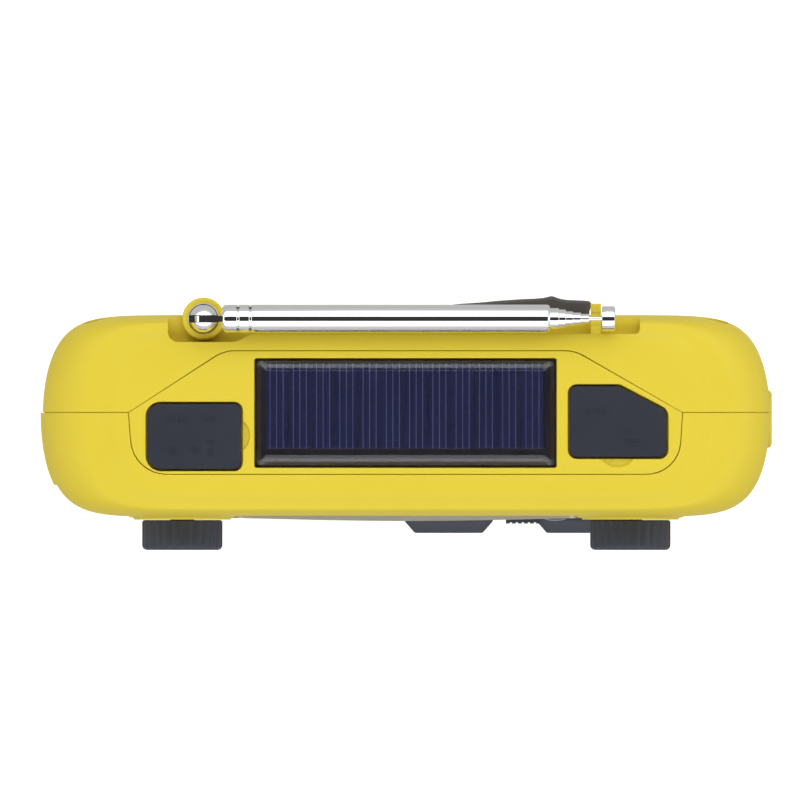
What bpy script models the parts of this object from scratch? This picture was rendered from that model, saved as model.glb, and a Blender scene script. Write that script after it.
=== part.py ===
"""Portable wind-up radio, modelled as the separate pieces that it comes apart into.

All sizes and coordinates below are in millimetres. MM turns them into Blender's metres when a
mesh is made. +X is the radio's right, -Y its front, +Z up. The working frame has its origin
under the middle of the case; the empty "radio" then centres the whole outline on the origin.
"""

import math

import bmesh
import bpy
from mathutils import Vector

MM = 0.001

# Case
CASE_WIDTH = 181.8
CASE_DEPTH = 50.5
CASE_TOP = 76.0
FOOT_HEIGHT = 1.5
WALL = 2.2
TOP_WALL = 5.0
PARTING_Y = 0.9
GAP = 0.3
OUTLINE_POWER = 16
RIM_ROUNDING = (12.4, 2.05, 16.0)
FLOOR_ROUNDING = (10.9, 4.25, 10.0)

HALF_WIDTH = CASE_WIDTH / 2
HALF_DEPTH = CASE_DEPTH / 2
FRONT = -HALF_DEPTH
REAR = HALF_DEPTH

# Top panel with its solar and port openings
PANEL_THICKNESS = 2.6
PANEL_REAR = 16.25
PANEL_FRONT = -14.5
SOLAR_BOX = (-38.0, 37.6, -12.95, 14.45)
WINDOW_BEVEL = 3.3
SOLAR_DEPTH = 5.3
LEFT_PORT = (-64.9, -41.15, -13.5, 3.25)
RIGHT_PORT = (40.65, 65.25, -10.45, 7.65)
PORT_DEPTH = 9.5
COVER_THICKNESS = 2.2
COVER_HINGE_INSET = 1.0
LEDGE = 1.5
LEDGE_LOW = CASE_TOP - PANEL_THICKNESS - 1.2
TRAY_WALL = 1.0

# Antenna: the main tube, then each thinner tube, then the rod
TUBE_DIAMETERS = (7.07, 5.3, 4.6, 3.7, 3.1, 2.4)
TUBE_ENDS = (35.9, 38.2, 39.9, 41.7, 43.7, 45.8)
ROD_DIAMETER = 1.1
CAP_DIAMETER = 6.3
CAP_START = 48.9
CAP_LENGTH = 3.4
SLIDE_CLEARANCE = 0.1
ANTENNA_X = -50.7
ANTENNA_Y = REAR - 0.95
ANTENNA_LIFT = 3.9
BALL_RADIUS = 3.5
TONGUE = 1.5
TONGUE_GAP = 0.2
LUG_RADIUS = 5.3
CHANNEL_DEPTH = 5.0
CHANNEL_ENDS = (-59.6, 58.4)

# Crank
CRANK_X = 13.0
CRANK_Z = 36.0
CRANK_REACH = 32.8
CRANK_PROUD = 4.72
DISH_DEPTH = 3.05
DISH_CLEARANCE = 0.8
AXLE_RADIUS = 2.5
GRIP_RADIUS = 3.3

# Gears: teeth of the crank gear, the idler's pinion and wheel, and the generator's pinion
TOOTH_MODULE = 0.6
CRANK_TEETH = 40
IDLER_SMALL_TEETH = 12
IDLER_LARGE_TEETH = 36
GENERATOR_TEETH = 10
IDLER_DIRECTION = math.radians(-30)
GENERATOR_DIRECTION = math.radians(20)

# Front controls
KNOB_X = 56.0
KNOB_Z = 46.0
KNOB_RADIUS = 10.1
KNOB_HEIGHT = 7.4
BOSS_RADIUS = 12.3
BOSS_PROUD = 0.65
FASCIA_BULGE = 0.85
FASCIA_DEPTH = 0.9
SPEAKER_X = -20.0
SPEAKER_Z = 42.0
SPEAKER_RADIUS = 19.0
DIAL_BOX = (3.0, 32.0, 40.0, 60.0)
BUTTON_SIZE = (22.1, 10.0)
BUTTON_XS = (10.6, 43.6)
BUTTON_Z = 19.0
BUTTON_PROUD = 3.0
SWITCH_X = 29.15
SWITCH_Z = 33.5
SWITCH_TRAVEL = 4.0
RACK_TEETH_WHEEL = 12

# Battery bay, in the rear left of the case
CELL_RADIUS = 7.25
CELL_LENGTH = 50.5
BAY_X = (-75.8, -23.9)
BAY_Z = (11.0, 56.1)
BAY_DEPTH = 15.8

# Flashlight, in the right end
LAMP_Y = -0.75
LAMP_Z = 45.0
LAMP_RADIUS = 6.3
PAD_PROUD = 0.5

# The outline's middle sits over the origin: knobs reach further forward than the crank rearward
FRONT_REACH = HALF_DEPTH + BOSS_PROUD + GAP + KNOB_HEIGHT
REAR_REACH = HALF_DEPTH + CRANK_PROUD
CENTRE_SHIFT = (FRONT_REACH - REAR_REACH) / 2


def material(name, colour, roughness, metallic=0.0, clear=0.0):
    """A Principled material with this finish."""
    made = bpy.data.materials.new(name)
    made.use_nodes = True
    shader = made.node_tree.nodes["Principled BSDF"]
    shader.inputs["Base Color"].default_value = (*colour, 1.0)
    shader.inputs["Roughness"].default_value = roughness
    shader.inputs["Metallic"].default_value = metallic
    shader.inputs["Transmission Weight"].default_value = clear
    return made


def case_outline(half_width, half_depth):
    """Plan outline: |x / width| to the 16th plus (y / depth) squared is one."""
    flat = [
        (half_width * s, half_depth * math.sqrt(1 - s**OUTLINE_POWER))
        for s in (0.0, 0.4, 0.65, 0.78)
    ]
    ends = [math.radians(angle) for angle in (72, 64, 56, 48, 40, 32, 24, 16, 8)]
    bend = [
        (half_width * math.cos(t) ** (2 / OUTLINE_POWER), half_depth * math.sin(t))
        for t in ends
    ]
    quarter = flat + bend + [(half_width, 0.0)]
    right = quarter + [(x, -y) for x, y in reversed(quarter[:-1])]
    return right + [(-x, y) for x, y in reversed(right[1:-1])]


def rounded_box(low_u, high_u, low_v, high_v, radius, steps=4):
    """Rectangle with four equal round corners."""
    corners = (
        (high_u - radius, high_v - radius, 0),
        (low_u + radius, high_v - radius, 90),
        (low_u + radius, low_v + radius, 180),
        (high_u - radius, low_v + radius, 270),
    )
    points = []
    for centre_u, centre_v, start in corners:
        for step in range(steps + 1):
            angle = math.radians(start + 90 * step / steps)
            points.append((centre_u + radius * math.cos(angle), centre_v + radius * math.sin(angle)))
    return points


def filleted(corners, steps=5):
    """Polygon whose corners (u, v, radius) are rounded with tangent arcs."""
    points = []
    for index, (u, v, radius) in enumerate(corners):
        here = Vector((u, v))
        before = (Vector(corners[index - 1][:2]) - here).normalized()
        after = (Vector(corners[(index + 1) % len(corners)][:2]) - here).normalized()
        if radius == 0:
            points.append((u, v))
            continue
        half = before.angle(after) / 2
        middle = (before + after).normalized()
        centre = here + middle * (radius / math.sin(half))
        start = here + before * (radius / math.tan(half)) - centre
        end = here + after * (radius / math.tan(half)) - centre
        sweep = start.angle_signed(end)
        for step in range(steps + 1):
            turn = -sweep * step / steps
            turned_u = start.x * math.cos(turn) - start.y * math.sin(turn)
            turned_v = start.x * math.sin(turn) + start.y * math.cos(turn)
            points.append((centre.x + turned_u, centre.y + turned_v))
    return points


def circle(radius, steps, centre=(0.0, 0.0)):
    """Regular outline round a centre."""
    turns = [2 * math.pi * step / steps for step in range(steps)]
    return [(centre[0] + radius * math.cos(t), centre[1] + radius * math.sin(t)) for t in turns]


def along(axis, u, v, w):
    """A point at w along the axis, with u and v across it in X, Y, Z order."""
    if axis == "X":
        return (w, u, v)
    if axis == "Y":
        return (u, w, v)
    return (u, v, w)


def loft(loops):
    """Closed skin through loops of equal count, capped at both ends."""
    mesh = bmesh.new()
    rings = [[mesh.verts.new(point) for point in loop] for loop in loops]
    for lower, upper in zip(rings, rings[1:]):
        for index in range(len(lower)):
            following = (index + 1) % len(lower)
            mesh.faces.new((lower[index], lower[following], upper[following], upper[index]))
    mesh.faces.new(list(reversed(rings[0])))
    mesh.faces.new(rings[-1])
    bmesh.ops.recalc_face_normals(mesh, faces=mesh.faces)
    return mesh


def prism(outline, axis, low, high):
    """The outline carried along the axis from low to high."""
    return loft([[along(axis, u, v, w) for u, v in outline] for w in (low, high)])


def block(low, high):
    """Box between two corners."""
    outline = [(low[0], low[1]), (high[0], low[1]), (high[0], high[1]), (low[0], high[1])]
    return prism(outline, "Z", low[2], high[2])


def turned(profile, axis, centre, steps, ring=False):
    """Profile of (radius, place along the axis) spun round the axis; a ring joins its two ends."""
    mesh = bmesh.new()
    rows = []
    for radius, place in profile:
        if radius == 0:
            rows.append([mesh.verts.new(along(axis, *centre, place))])
            continue
        rows.append([mesh.verts.new(along(axis, *point, place)) for point in circle(radius, steps, centre)])
    pairs = list(zip(rows, rows[1:])) + ([(rows[-1], rows[0])] if ring else [])
    for lower, upper in pairs:
        if len(lower) == len(upper) == 1:
            continue
        for index in range(steps):
            following = (index + 1) % steps
            corners = [lower[index % len(lower)], lower[following % len(lower)]]
            corners += [upper[following % len(upper)], upper[index % len(upper)]]
            mesh.faces.new(list(dict.fromkeys(corners)))
    if not ring:
        for row in (rows[0], rows[-1]):
            if len(row) > 1:
                mesh.faces.new(row)
    bmesh.ops.recalc_face_normals(mesh, faces=mesh.faces)
    return mesh


def rod(axis, centre, radius, low, high, steps=24):
    """Plain cylinder."""
    return prism(circle(radius, steps, centre), axis, low, high)


def gear_outline(teeth, phase, centre, sign=1):
    """Straight-sided teeth on a wheel: root, flank, tip, flank, with one tooth at the phase angle."""
    pitch_radius = teeth * TOOTH_MODULE / 2
    root = pitch_radius - 1.1 * TOOTH_MODULE
    tip = pitch_radius + 0.7 * TOOTH_MODULE
    pitch = 2 * math.pi / teeth
    points = []
    for tooth in range(teeth):
        middle = phase + tooth * pitch
        for radius, share in ((root, -0.27), (tip, -0.11), (tip, 0.11), (root, 0.27)):
            angle = middle + share * pitch
            points.append((centre[0] + radius * math.cos(angle), centre[1] + sign * radius * math.sin(angle)))
    return points


def place(name, mesh, finish, origin=(0.0, 0.0, 0.0)):
    """Turn a millimetre mesh into an object whose own origin is at the given point."""
    bmesh.ops.translate(mesh, verts=mesh.verts, vec=-Vector(origin))
    bmesh.ops.scale(mesh, verts=mesh.verts, vec=(MM, MM, MM))
    data = bpy.data.meshes.new(name)
    mesh.to_mesh(data)
    mesh.free()
    data.shade_smooth()
    data.set_sharp_from_angle(angle=math.radians(32))
    if finish:
        data.materials.append(finish)
    made = bpy.data.objects.new(name, data)
    made.location = Vector(origin) * MM
    made.parent = radio
    bpy.context.scene.collection.objects.link(made)
    return made


def helper(name, mesh):
    """A shape that only cuts or joins, left out of the model itself."""
    made = place(name, mesh, None)
    made.hide_render = True
    made.display_type = "WIRE"
    return made


def combine(target, operation, *meshes):
    """Cut, join or intersect the target with each mesh, one exact Boolean each."""
    for mesh in meshes:
        count = len(target.modifiers)
        tool = mesh
        if isinstance(mesh, bmesh.types.BMesh):
            tool = helper(f"{target.name}_{operation.lower()}_{count}", mesh)
        step = target.modifiers.new(f"{operation.lower()}_{count}", "BOOLEAN")
        step.operation = operation
        step.solver = "EXACT"
        step.object = tool


def case_solid():
    """Outer form of the case: nested plan outlines from the floor up to the flat of the top."""
    ridge_z = CASE_TOP - 1.15
    levels = [(HALF_WIDTH - FLOOR_ROUNDING[0], HALF_DEPTH - FLOOR_ROUNDING[1], FOOT_HEIGHT)]
    for angle in (30, 60, 90):
        turn = math.radians(angle)
        levels.append(
            (
                HALF_WIDTH - FLOOR_ROUNDING[0] * (1 - math.sin(turn)),
                HALF_DEPTH - FLOOR_ROUNDING[1] * (1 - math.sin(turn)),
                FOOT_HEIGHT + FLOOR_ROUNDING[2] * (1 - math.cos(turn)),
            )
        )
    for angle in (90, 74, 58, 42, 22, 0):
        turn = math.radians(angle)
        levels.append(
            (
                HALF_WIDTH - RIM_ROUNDING[0] * (1 - math.sin(turn)),
                HALF_DEPTH - RIM_ROUNDING[1] * (1 - math.sin(turn)),
                ridge_z - RIM_ROUNDING[2] * (1 - math.cos(turn)),
            )
        )
    levels.append((HALF_WIDTH - 15.4, HALF_DEPTH - 3.45, CASE_TOP - 0.95))
    levels.append((HALF_WIDTH - 16.7, HALF_DEPTH - 4.25, CASE_TOP - 0.45))
    levels.append((HALF_WIDTH - 20.9, HALF_DEPTH - 8.25, CASE_TOP))
    return loft([[(x, y, z) for x, y in case_outline(width, depth)] for width, depth, z in levels])


def case_hollow():
    """Space inside the case, a wall's thickness in from the outer form."""
    levels = (
        (HALF_WIDTH - 12.9, HALF_DEPTH - 6.2, FOOT_HEIGHT + WALL),
        (HALF_WIDTH - WALL, HALF_DEPTH - WALL - 0.2, FOOT_HEIGHT + WALL + 6),
        (HALF_WIDTH - WALL, HALF_DEPTH - WALL, FOOT_HEIGHT + WALL + 9),
        (HALF_WIDTH - WALL, HALF_DEPTH - WALL, CASE_TOP - 16.5),
        (HALF_WIDTH - WALL - 4.5, HALF_DEPTH - WALL - 1.1, CASE_TOP - 8.5),
        (HALF_WIDTH - 16.9, HALF_DEPTH - 5.5, CASE_TOP - TOP_WALL),
    )
    return loft([[(x, y, z) for x, y in case_outline(width, depth)] for width, depth, z in levels])


def panel_outline(grow=0.0):
    """Top panel: straight rear edge, two long diagonals to the parting line, round front corners."""
    return filleted(
        (
            (42.0 + grow, PANEL_REAR + grow, 9.0),
            (-45.5 - grow, PANEL_REAR + grow, 9.0),
            (-69.4 - grow, PARTING_Y + grow / 2, 0),
            (-68.2 - grow, PANEL_FRONT - grow, 9.0),
            (68.0 + grow, PANEL_FRONT - grow, 8.5),
            (69.0 + grow, PARTING_Y + grow / 2, 0),
        )
    )


def right_port_outline(grow=0.0):
    """Right port opening: a rectangle with its rear right corner cut off along the panel's edge."""
    low_x, high_x, low_y, high_y = RIGHT_PORT
    return filleted(
        (
            (high_x + grow, low_y - grow, 2.0 + grow),
            (high_x + grow, high_y - 6.2 + grow / 2, 2.6 + grow),
            (high_x - 12.0 + grow / 2, high_y + grow, 2.0 + grow),
            (low_x - grow, high_y + grow, 2.0 + grow),
            (low_x - grow, low_y - grow, 2.0 + grow),
        ),
        3,
    )


def left_port_outline(grow=0.0):
    """Left port opening: rounder corners at the hinge side."""
    low_x, high_x, low_y, high_y = LEFT_PORT
    return filleted(
        (
            (high_x + grow, high_y + grow, 1.7 + grow),
            (low_x - grow, high_y + grow, 3.3 + grow),
            (low_x - grow, low_y - grow, 3.3 + grow),
            (high_x + grow, low_y - grow, 1.7 + grow),
        ),
        3,
    )


def grown(box, amount):
    """A plan rectangle (low x, high x, low y, high y) moved outwards on every side."""
    return (box[0] - amount, box[1] + amount, box[2] - amount, box[3] + amount)


def plan_block(box, low_z, high_z):
    """Box over a plan rectangle."""
    return block((box[0], box[2], low_z), (box[1], box[3], high_z))


def case_cuts():
    """Fresh cutters that both shells share: panel pocket, tray and well passages, lamp seat, feet."""
    lamp = (LAMP_Y, LAMP_Z)
    cuts = [
        case_hollow(),
        prism(panel_outline(GAP), "Z", CASE_TOP - PANEL_THICKNESS - GAP, CASE_TOP + 5),
        plan_block(grown(SOLAR_BOX, TRAY_WALL + GAP), CASE_TOP - 12, CASE_TOP),
        prism(left_port_outline(GAP - LEDGE + TRAY_WALL), "Z", CASE_TOP - 16, CASE_TOP),
        prism(right_port_outline(GAP - LEDGE + TRAY_WALL), "Z", CASE_TOP - 16, CASE_TOP),
        prism(left_port_outline(TRAY_WALL + 2 * GAP), "Z", LEDGE_LOW - GAP, CASE_TOP - PANEL_THICKNESS),
        prism(right_port_outline(TRAY_WALL + 2 * GAP), "Z", LEDGE_LOW - GAP, CASE_TOP - PANEL_THICKNESS),
        rod("X", lamp, LAMP_RADIUS + GAP, HALF_WIDTH - 9, HALF_WIDTH + 5),
        rod("X", lamp, LAMP_RADIUS + 1.2, HALF_WIDTH - 1.3, HALF_WIDTH + 5),
    ]
    for x in FOOT_XS:
        for y in FOOT_YS:
            cuts.append(rod("Z", (x, y), FOOT_RADIUS + GAP, -2, FOOT_HEIGHT + 0.8, 20))
    return cuts


FOOT_RADIUS = 5.0
FOOT_XS = (-HALF_WIDTH + 29, HALF_WIDTH - 29)
FOOT_YS = (FRONT + 12.0, REAR - 11.0)
SCREW_PLACES = (
    (-HALF_WIDTH + 13.5, CASE_TOP - 13),
    (HALF_WIDTH - 13.5, CASE_TOP - 13),
    (-HALF_WIDTH + 9, FOOT_HEIGHT + 13.5),
    (HALF_WIDTH - 9, FOOT_HEIGHT + 13.5),
)
SCREW_SEAT_Y = REAR - 8.5


def fascia_outline(grow=0.0):
    """Front plate: a broad band under the knobs and a narrower field between them."""
    upper = KNOB_X - BOSS_RADIUS - 1.2 + grow
    lower = KNOB_X + 8 + grow
    shoulder = KNOB_Z - BOSS_RADIUS - 1.7 + grow
    low, high = 8.0 - grow, CASE_TOP - 9 + grow
    return filleted(
        (
            (upper, high, 3.0),
            (-upper, high, 3.0),
            (-upper, shoulder, 2.0),
            (-lower, shoulder, 4.0),
            (-lower, low, 5.0),
            (lower, low, 5.0),
            (lower, shoulder, 4.0),
            (upper, shoulder, 2.0),
        ),
        4,
    )


def button_outline(x, grow=0.0):
    """Push button seen from the front."""
    half_x, half_z = BUTTON_SIZE[0] / 2 + grow, BUTTON_SIZE[1] / 2 + grow
    return rounded_box(x - half_x, x + half_x, BUTTON_Z - half_z, BUTTON_Z + half_z, 2.2 + grow, 3)


def front_shell():
    """Front half of the case, with bosses for the knobs, screw posts and the openings of the front."""
    shell = place("front_shell", case_solid(), yellow)
    half = block((-200, -200, -50), (200, PARTING_Y - GAP / 2, 300))
    combine(shell, "INTERSECT", half)
    combine(shell, "DIFFERENCE", *case_cuts())
    for side in (-1, 1):
        boss = turned(
            ((0, FRONT + 0.6), (BOSS_RADIUS + 0.5, FRONT + 0.6), (BOSS_RADIUS, FRONT - BOSS_PROUD + 0.5),
             (BOSS_RADIUS - 0.5, FRONT - BOSS_PROUD), (0, FRONT - BOSS_PROUD)),
            "Y", (side * KNOB_X, KNOB_Z), 40)
        combine(shell, "UNION", boss)
    pad = loft([[(x, y, z) for x, y in case_outline(HALF_WIDTH + grow, HALF_DEPTH + grow)]
                for grow, z in ((-0.4, 27.0), (PAD_PROUD, 28.5), (PAD_PROUD, 59.0), (-0.4, 60.5))])
    pad_helper = helper("strap_pad_outer", pad)
    combine(pad_helper, "INTERSECT", block((-200, FRONT + 8, 0), (-HALF_WIDTH + 6, PARTING_Y - GAP / 2, 100)))
    combine(pad_helper, "DIFFERENCE", case_hollow())
    combine(shell, "UNION", pad_helper)
    for x, z in SCREW_PLACES:
        post = rod("Y", (x, z), 3.6, FRONT + WALL - 12, PARTING_Y - GAP, 20)
        post_helper = helper(f"post_{x:.0f}_{z:.0f}", post)
        combine(post_helper, "INTERSECT", helper(f"post_body_{x:.0f}_{z:.0f}", case_solid()))
        combine(shell, "UNION", post_helper)
        combine(shell, "DIFFERENCE", rod("Y", (x, z), SCREW_RADIUS + GAP / 2, SCREW_SEAT_Y - 22, 10, 12))
    fascia_cut = prism(fascia_outline(GAP), "Y", FRONT - 10, FRONT + FASCIA_DEPTH)
    combine(shell, "DIFFERENCE", fascia_cut)
    wall_end = FRONT + WALL + 5
    low_x, high_x, low_z, high_z = DIAL_BOX
    speaker = rod("Y", (SPEAKER_X, SPEAKER_Z), SPEAKER_RADIUS - 2.5, FRONT - 5, wall_end, 40)
    dial = prism(rounded_box(low_x + 1, high_x - 1, low_z + 1, high_z - 1, 1.5), "Y", FRONT - 5, wall_end)
    combine(shell, "DIFFERENCE", speaker, dial)
    for x in BUTTON_XS:
        combine(shell, "DIFFERENCE", prism(button_outline(x, GAP), "Y", FRONT - 5, wall_end))
    for x in (-KNOB_X, KNOB_X):
        combine(shell, "DIFFERENCE", rod("Y", (x, KNOB_Z), STEM_RADIUS + GAP, FRONT - 5, wall_end))
    switch = switch_slot(1.4)
    combine(shell, "DIFFERENCE", prism(switch, "Y", FRONT - 5, wall_end))


STEM_RADIUS = 3.0
SCREW_RADIUS = 1.3


def switch_slot(half_height):
    """Slot that lets the slide switch travel."""
    half = SWITCH_NUB[0] / 2 + SWITCH_TRAVEL + GAP
    return rounded_box(SWITCH_X - half, SWITCH_X + half, SWITCH_Z - half_height, SWITCH_Z + half_height, 0.8, 2)


SWITCH_NUB = (8.5, 3.0)


def channel_outline():
    """Plan of the antenna channel: a deeper pocket at the pivot, a soft S, then a straight wall."""
    rear_wall = REAR + 20
    pocket = REAR - 6.75
    wall = REAR - 4.75
    points = [(CHANNEL_ENDS[0], rear_wall)]
    for step in range(5):
        angle = math.radians(180 + 22.5 * step)
        points.append((CHANNEL_ENDS[0] + 2.5 + 2.5 * math.cos(angle), pocket + 2.5 + 2.5 * math.sin(angle)))
    for step in range(7):
        share = step / 6
        blend = (1 - math.cos(math.pi * share)) / 2
        points.append((ANTENNA_X + 7.1 + 5.8 * share, pocket + (wall - pocket) * blend))
    for step in range(4):
        angle = math.radians(270 + 30 * step)
        points.append((CHANNEL_ENDS[1] - 1.25 + 1.25 * math.cos(angle), wall + 1.25 + 1.25 * math.sin(angle)))
    points.append((CHANNEL_ENDS[1], rear_wall))
    return points


def door_outline(inset=0.0):
    """Battery opening seen from behind; the door is the same shape, a little smaller."""
    return rounded_box(BAY_X[0] + inset, BAY_X[1] - inset, BAY_Z[0] + inset, BAY_Z[1] - inset, 2.0, 3)


def rear_shell():
    """Rear half: antenna channel, lug and rest, crank dish, battery opening and screw wells."""
    shell = place("rear_shell", case_solid(), yellow)
    half = block((-200, PARTING_Y + GAP / 2, -50), (200, 200, 300))
    combine(shell, "INTERSECT", half)
    combine(shell, "DIFFERENCE", *case_cuts())
    floor_z = CASE_TOP - CHANNEL_DEPTH
    trough = block((CHANNEL_ENDS[0] - WALL, REAR - 8.9, floor_z - WALL), (CHANNEL_ENDS[1] + WALL, REAR - 1.1, floor_z + 0.6))
    combine(shell, "UNION", trough)
    dish_radius = CRANK_REACH + DISH_CLEARANCE
    backing = helper("dish_backing", rod("Y", (CRANK_X, CRANK_Z), dish_radius + 1.2, REAR - DISH_DEPTH - WALL, REAR, 48))
    combine(backing, "INTERSECT", helper("dish_backing_body", case_solid()))
    combine(shell, "UNION", backing)
    for x, z in SCREW_PLACES:
        post = helper(f"rear_post_{x:.0f}_{z:.0f}", rod("Y", (x, z), 4.4, PARTING_Y + GAP, REAR + 5, 20))
        combine(post, "INTERSECT", helper(f"rear_post_body_{x:.0f}_{z:.0f}", case_solid()))
        combine(shell, "UNION", post)
        combine(shell, "DIFFERENCE", rod("Y", (x, z), 3.2, SCREW_SEAT_Y, REAR + 10, 16))
        combine(shell, "DIFFERENCE", rod("Y", (x, z), SCREW_RADIUS + GAP, -10, REAR, 12))
    combine(shell, "DIFFERENCE", prism(channel_outline(), "Z", floor_z, CASE_TOP + 20))
    dish = rod("Y", (CRANK_X, CRANK_Z), dish_radius, REAR - DISH_DEPTH, REAR + 10, 48)
    bushing = rod("Y", (CRANK_X, CRANK_Z), BUSHING_RADIUS + GAP / 2, REAR - 12, REAR)
    door = prism(door_outline(), "Y", REAR - 6, REAR + 10)
    combine(shell, "DIFFERENCE", dish, bushing, door)
    lug_top = CASE_TOP - 2.0
    lug = turned(
        ((0, lug_top - 14), (LUG_RADIUS - 2.5, lug_top - 14), (LUG_RADIUS, lug_top - 8), (LUG_RADIUS, lug_top - 0.6),
         (LUG_RADIUS - 0.6, lug_top), (0, lug_top)), "Z", (ANTENNA_X, ANTENNA_Y), 28)
    combine(shell, "UNION", lug)
    rest = [
        (REAR - 6.0, CASE_TOP - 6.5),
        (REAR - 0.2, CASE_TOP - 10.5),
        (REAR + 2.85, CASE_TOP - 5.0),
        (REAR + 2.85, CASE_TOP + 0.2),
        (REAR + 0.8, CASE_TOP + 0.2),
        (REAR - 0.2, CASE_TOP - 1.2),
        (REAR - 1.7, CASE_TOP - 1.2),
        (REAR - 2.7, CASE_TOP - 0.6),
        (REAR - 6.0, CASE_TOP - 0.6),
    ]
    combine(shell, "UNION", prism(rest, "X", TUBE_ENDS[-1] + GAP, CAP_START - 0.25))
    bore = rod("Z", (ANTENNA_X, ANTENNA_Y), SWIVEL_RADIUS + GAP, lug_top - 12, lug_top + 5, 16)
    combine(shell, "DIFFERENCE", bore)


BUSHING_RADIUS = 4.2
SWIVEL_RADIUS = 1.8


def top_panel():
    """Inlay plate with the solar tray and the two port wells moulded under it."""
    low = CASE_TOP - PANEL_THICKNESS
    panel = place("top_panel", prism(panel_outline(), "Z", low, CASE_TOP), yellow)
    under = grown(SOLAR_BOX, TRAY_WALL)
    combine(panel, "UNION", plan_block(under, CASE_TOP - SOLAR_DEPTH - TRAY_WALL, low + 0.5))
    for side, outline in (("left", left_port_outline), ("right", right_port_outline)):
        flange = helper(f"{side}_port_flange", prism(outline(TRAY_WALL + GAP), "Z", LEDGE_LOW, low + 0.5))
        combine(flange, "INTERSECT", prism(panel_outline(-0.1), "Z", CASE_TOP - 10, CASE_TOP + 5))
        well = prism(outline(TRAY_WALL - LEDGE), "Z", CASE_TOP - PORT_DEPTH - TRAY_WALL, LEDGE_LOW + 0.5)
        combine(panel, "UNION", flange, well)
    combine(panel, "DIFFERENCE", prism(rounded_box(*SOLAR_BOX, 0.6, 2), "Z", CASE_TOP - SOLAR_DEPTH, CASE_TOP + 5))
    for outline in (left_port_outline, right_port_outline):
        combine(panel, "DIFFERENCE", prism(outline(GAP), "Z", low, CASE_TOP + 5))
        combine(panel, "DIFFERENCE", prism(outline(-LEDGE), "Z", CASE_TOP - PORT_DEPTH, CASE_TOP + 5))
    scoop_low = CASE_TOP - 1.2
    left_scoop = rod("Z", (LEFT_PORT[1] - 2.75, -4.9), 4.75, scoop_low, CASE_TOP + 5, 32)
    right_scoop = rod("Z", (52.8, RIGHT_PORT[2] + 2.85), 4.9, scoop_low, CASE_TOP + 5, 32)
    combine(panel, "DIFFERENCE", left_scoop, right_scoop)
    passages = [
        prism(rounded_box(*grown(CHARGE_SOCKET, GAP), 1.0, 2), "Z", CASE_TOP - 30, CASE_TOP - 5),
        rod("Z", PHONE_PLACE, PHONE_RADIUS + GAP, CASE_TOP - 30, CASE_TOP - 5, 20),
        prism(rounded_box(*grown(USB_SOCKET, GAP), 0.5, 2), "Z", CASE_TOP - 30, CASE_TOP - 5),
        rod("Z", (SOLAR_BOX[0] + 4, 0), 1.5, CASE_TOP - 30, CASE_TOP - 3, 12),
    ]
    combine(panel, "DIFFERENCE", *passages)


CHARGE_SOCKET = (-59.5, -50.5, -8.0, -2.6)
PHONE_PLACE = (-46.5, -5.2)
PHONE_RADIUS = 3.2
USB_SOCKET = (46.2, 61.0, -5.6, 2.2)


def solar_pieces():
    """Bevelled clear window over the board that carries the cells."""
    box = grown(SOLAR_BOX, -GAP)
    inner = grown(box, -WINDOW_BEVEL)
    base = CASE_TOP - 3.0
    loops = [
        [(u, v, base) for u, v in rounded_box(*box, 0.5, 2)],
        [(u, v, CASE_TOP - 1.5) for u, v in rounded_box(*box, 0.5, 2)],
        [(u, v, CASE_TOP - 0.15) for u, v in rounded_box(*inner, 0.8, 2)],
    ]
    place("solar_window", loft(loops), clear_plastic)
    board = plan_block(box, CASE_TOP - SOLAR_DEPTH + GAP, base - GAP)
    place("solar_cell_board", board, cell_blue)


def port_covers():
    """Rubber flaps, each turning about the edge of its own top face, with a few raised bars."""
    high = CASE_TOP - 0.1
    low = high - COVER_THICKNESS
    left_origin = (LEFT_PORT[0] + COVER_HINGE_INSET, 0.0, high)
    left = place("left_port_cover", prism(left_port_outline(), "Z", low, high), rubber, left_origin)
    right_origin = (0.0, RIGHT_PORT[3] - COVER_HINGE_INSET, high)
    right = place("right_port_cover", prism(right_port_outline(), "Z", low, high), rubber, right_origin)
    for cover, x, y in ((left, -53.0, -5.0), (right, 51.0, -2.0)):
        groove = block((x - 5, y - 0.4, high - 0.3), (x + 5, y + 0.4, high + 2))
        combine(cover, "DIFFERENCE", groove)


def sockets():
    """Sockets that face up through the floors of the two port wells."""
    high = CASE_TOP - PORT_DEPTH + 1.6
    charge = place("charge_socket", prism(rounded_box(*CHARGE_SOCKET, 0.8, 2), "Z", high - 10, high), steel)
    mouth = grown(CHARGE_SOCKET, -0.6)
    combine(charge, "DIFFERENCE", prism(rounded_box(*mouth, 0.8, 2), "Z", high - 7, high + 5))
    tongue_y = (CHARGE_SOCKET[2] + CHARGE_SOCKET[3]) / 2
    tongue = block((mouth[0] + 0.9, tongue_y - 0.4, high - 8), (mouth[1] - 0.9, tongue_y + 0.4, high - 0.8))
    combine(charge, "UNION", tongue)
    phone = turned(
        ((1.8, high - 12), (PHONE_RADIUS, high - 12), (PHONE_RADIUS, high), (1.8, high)),
        "Z", PHONE_PLACE, 20, ring=True)
    place("phone_socket", phone, black_plastic)
    usb = place("usb_output_socket", prism(rounded_box(*USB_SOCKET, 0.5, 2), "Z", high - 13, high), steel)
    usb_mouth = grown(USB_SOCKET, -0.9)
    combine(usb, "DIFFERENCE", plan_block(usb_mouth, high - 10, high + 5))
    contact = block((usb_mouth[0] + 1, usb_mouth[3] - 1.7, high - 11), (usb_mouth[1] - 1, usb_mouth[3] + 0.2, high - 1))
    combine(usb, "UNION", contact)


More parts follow.
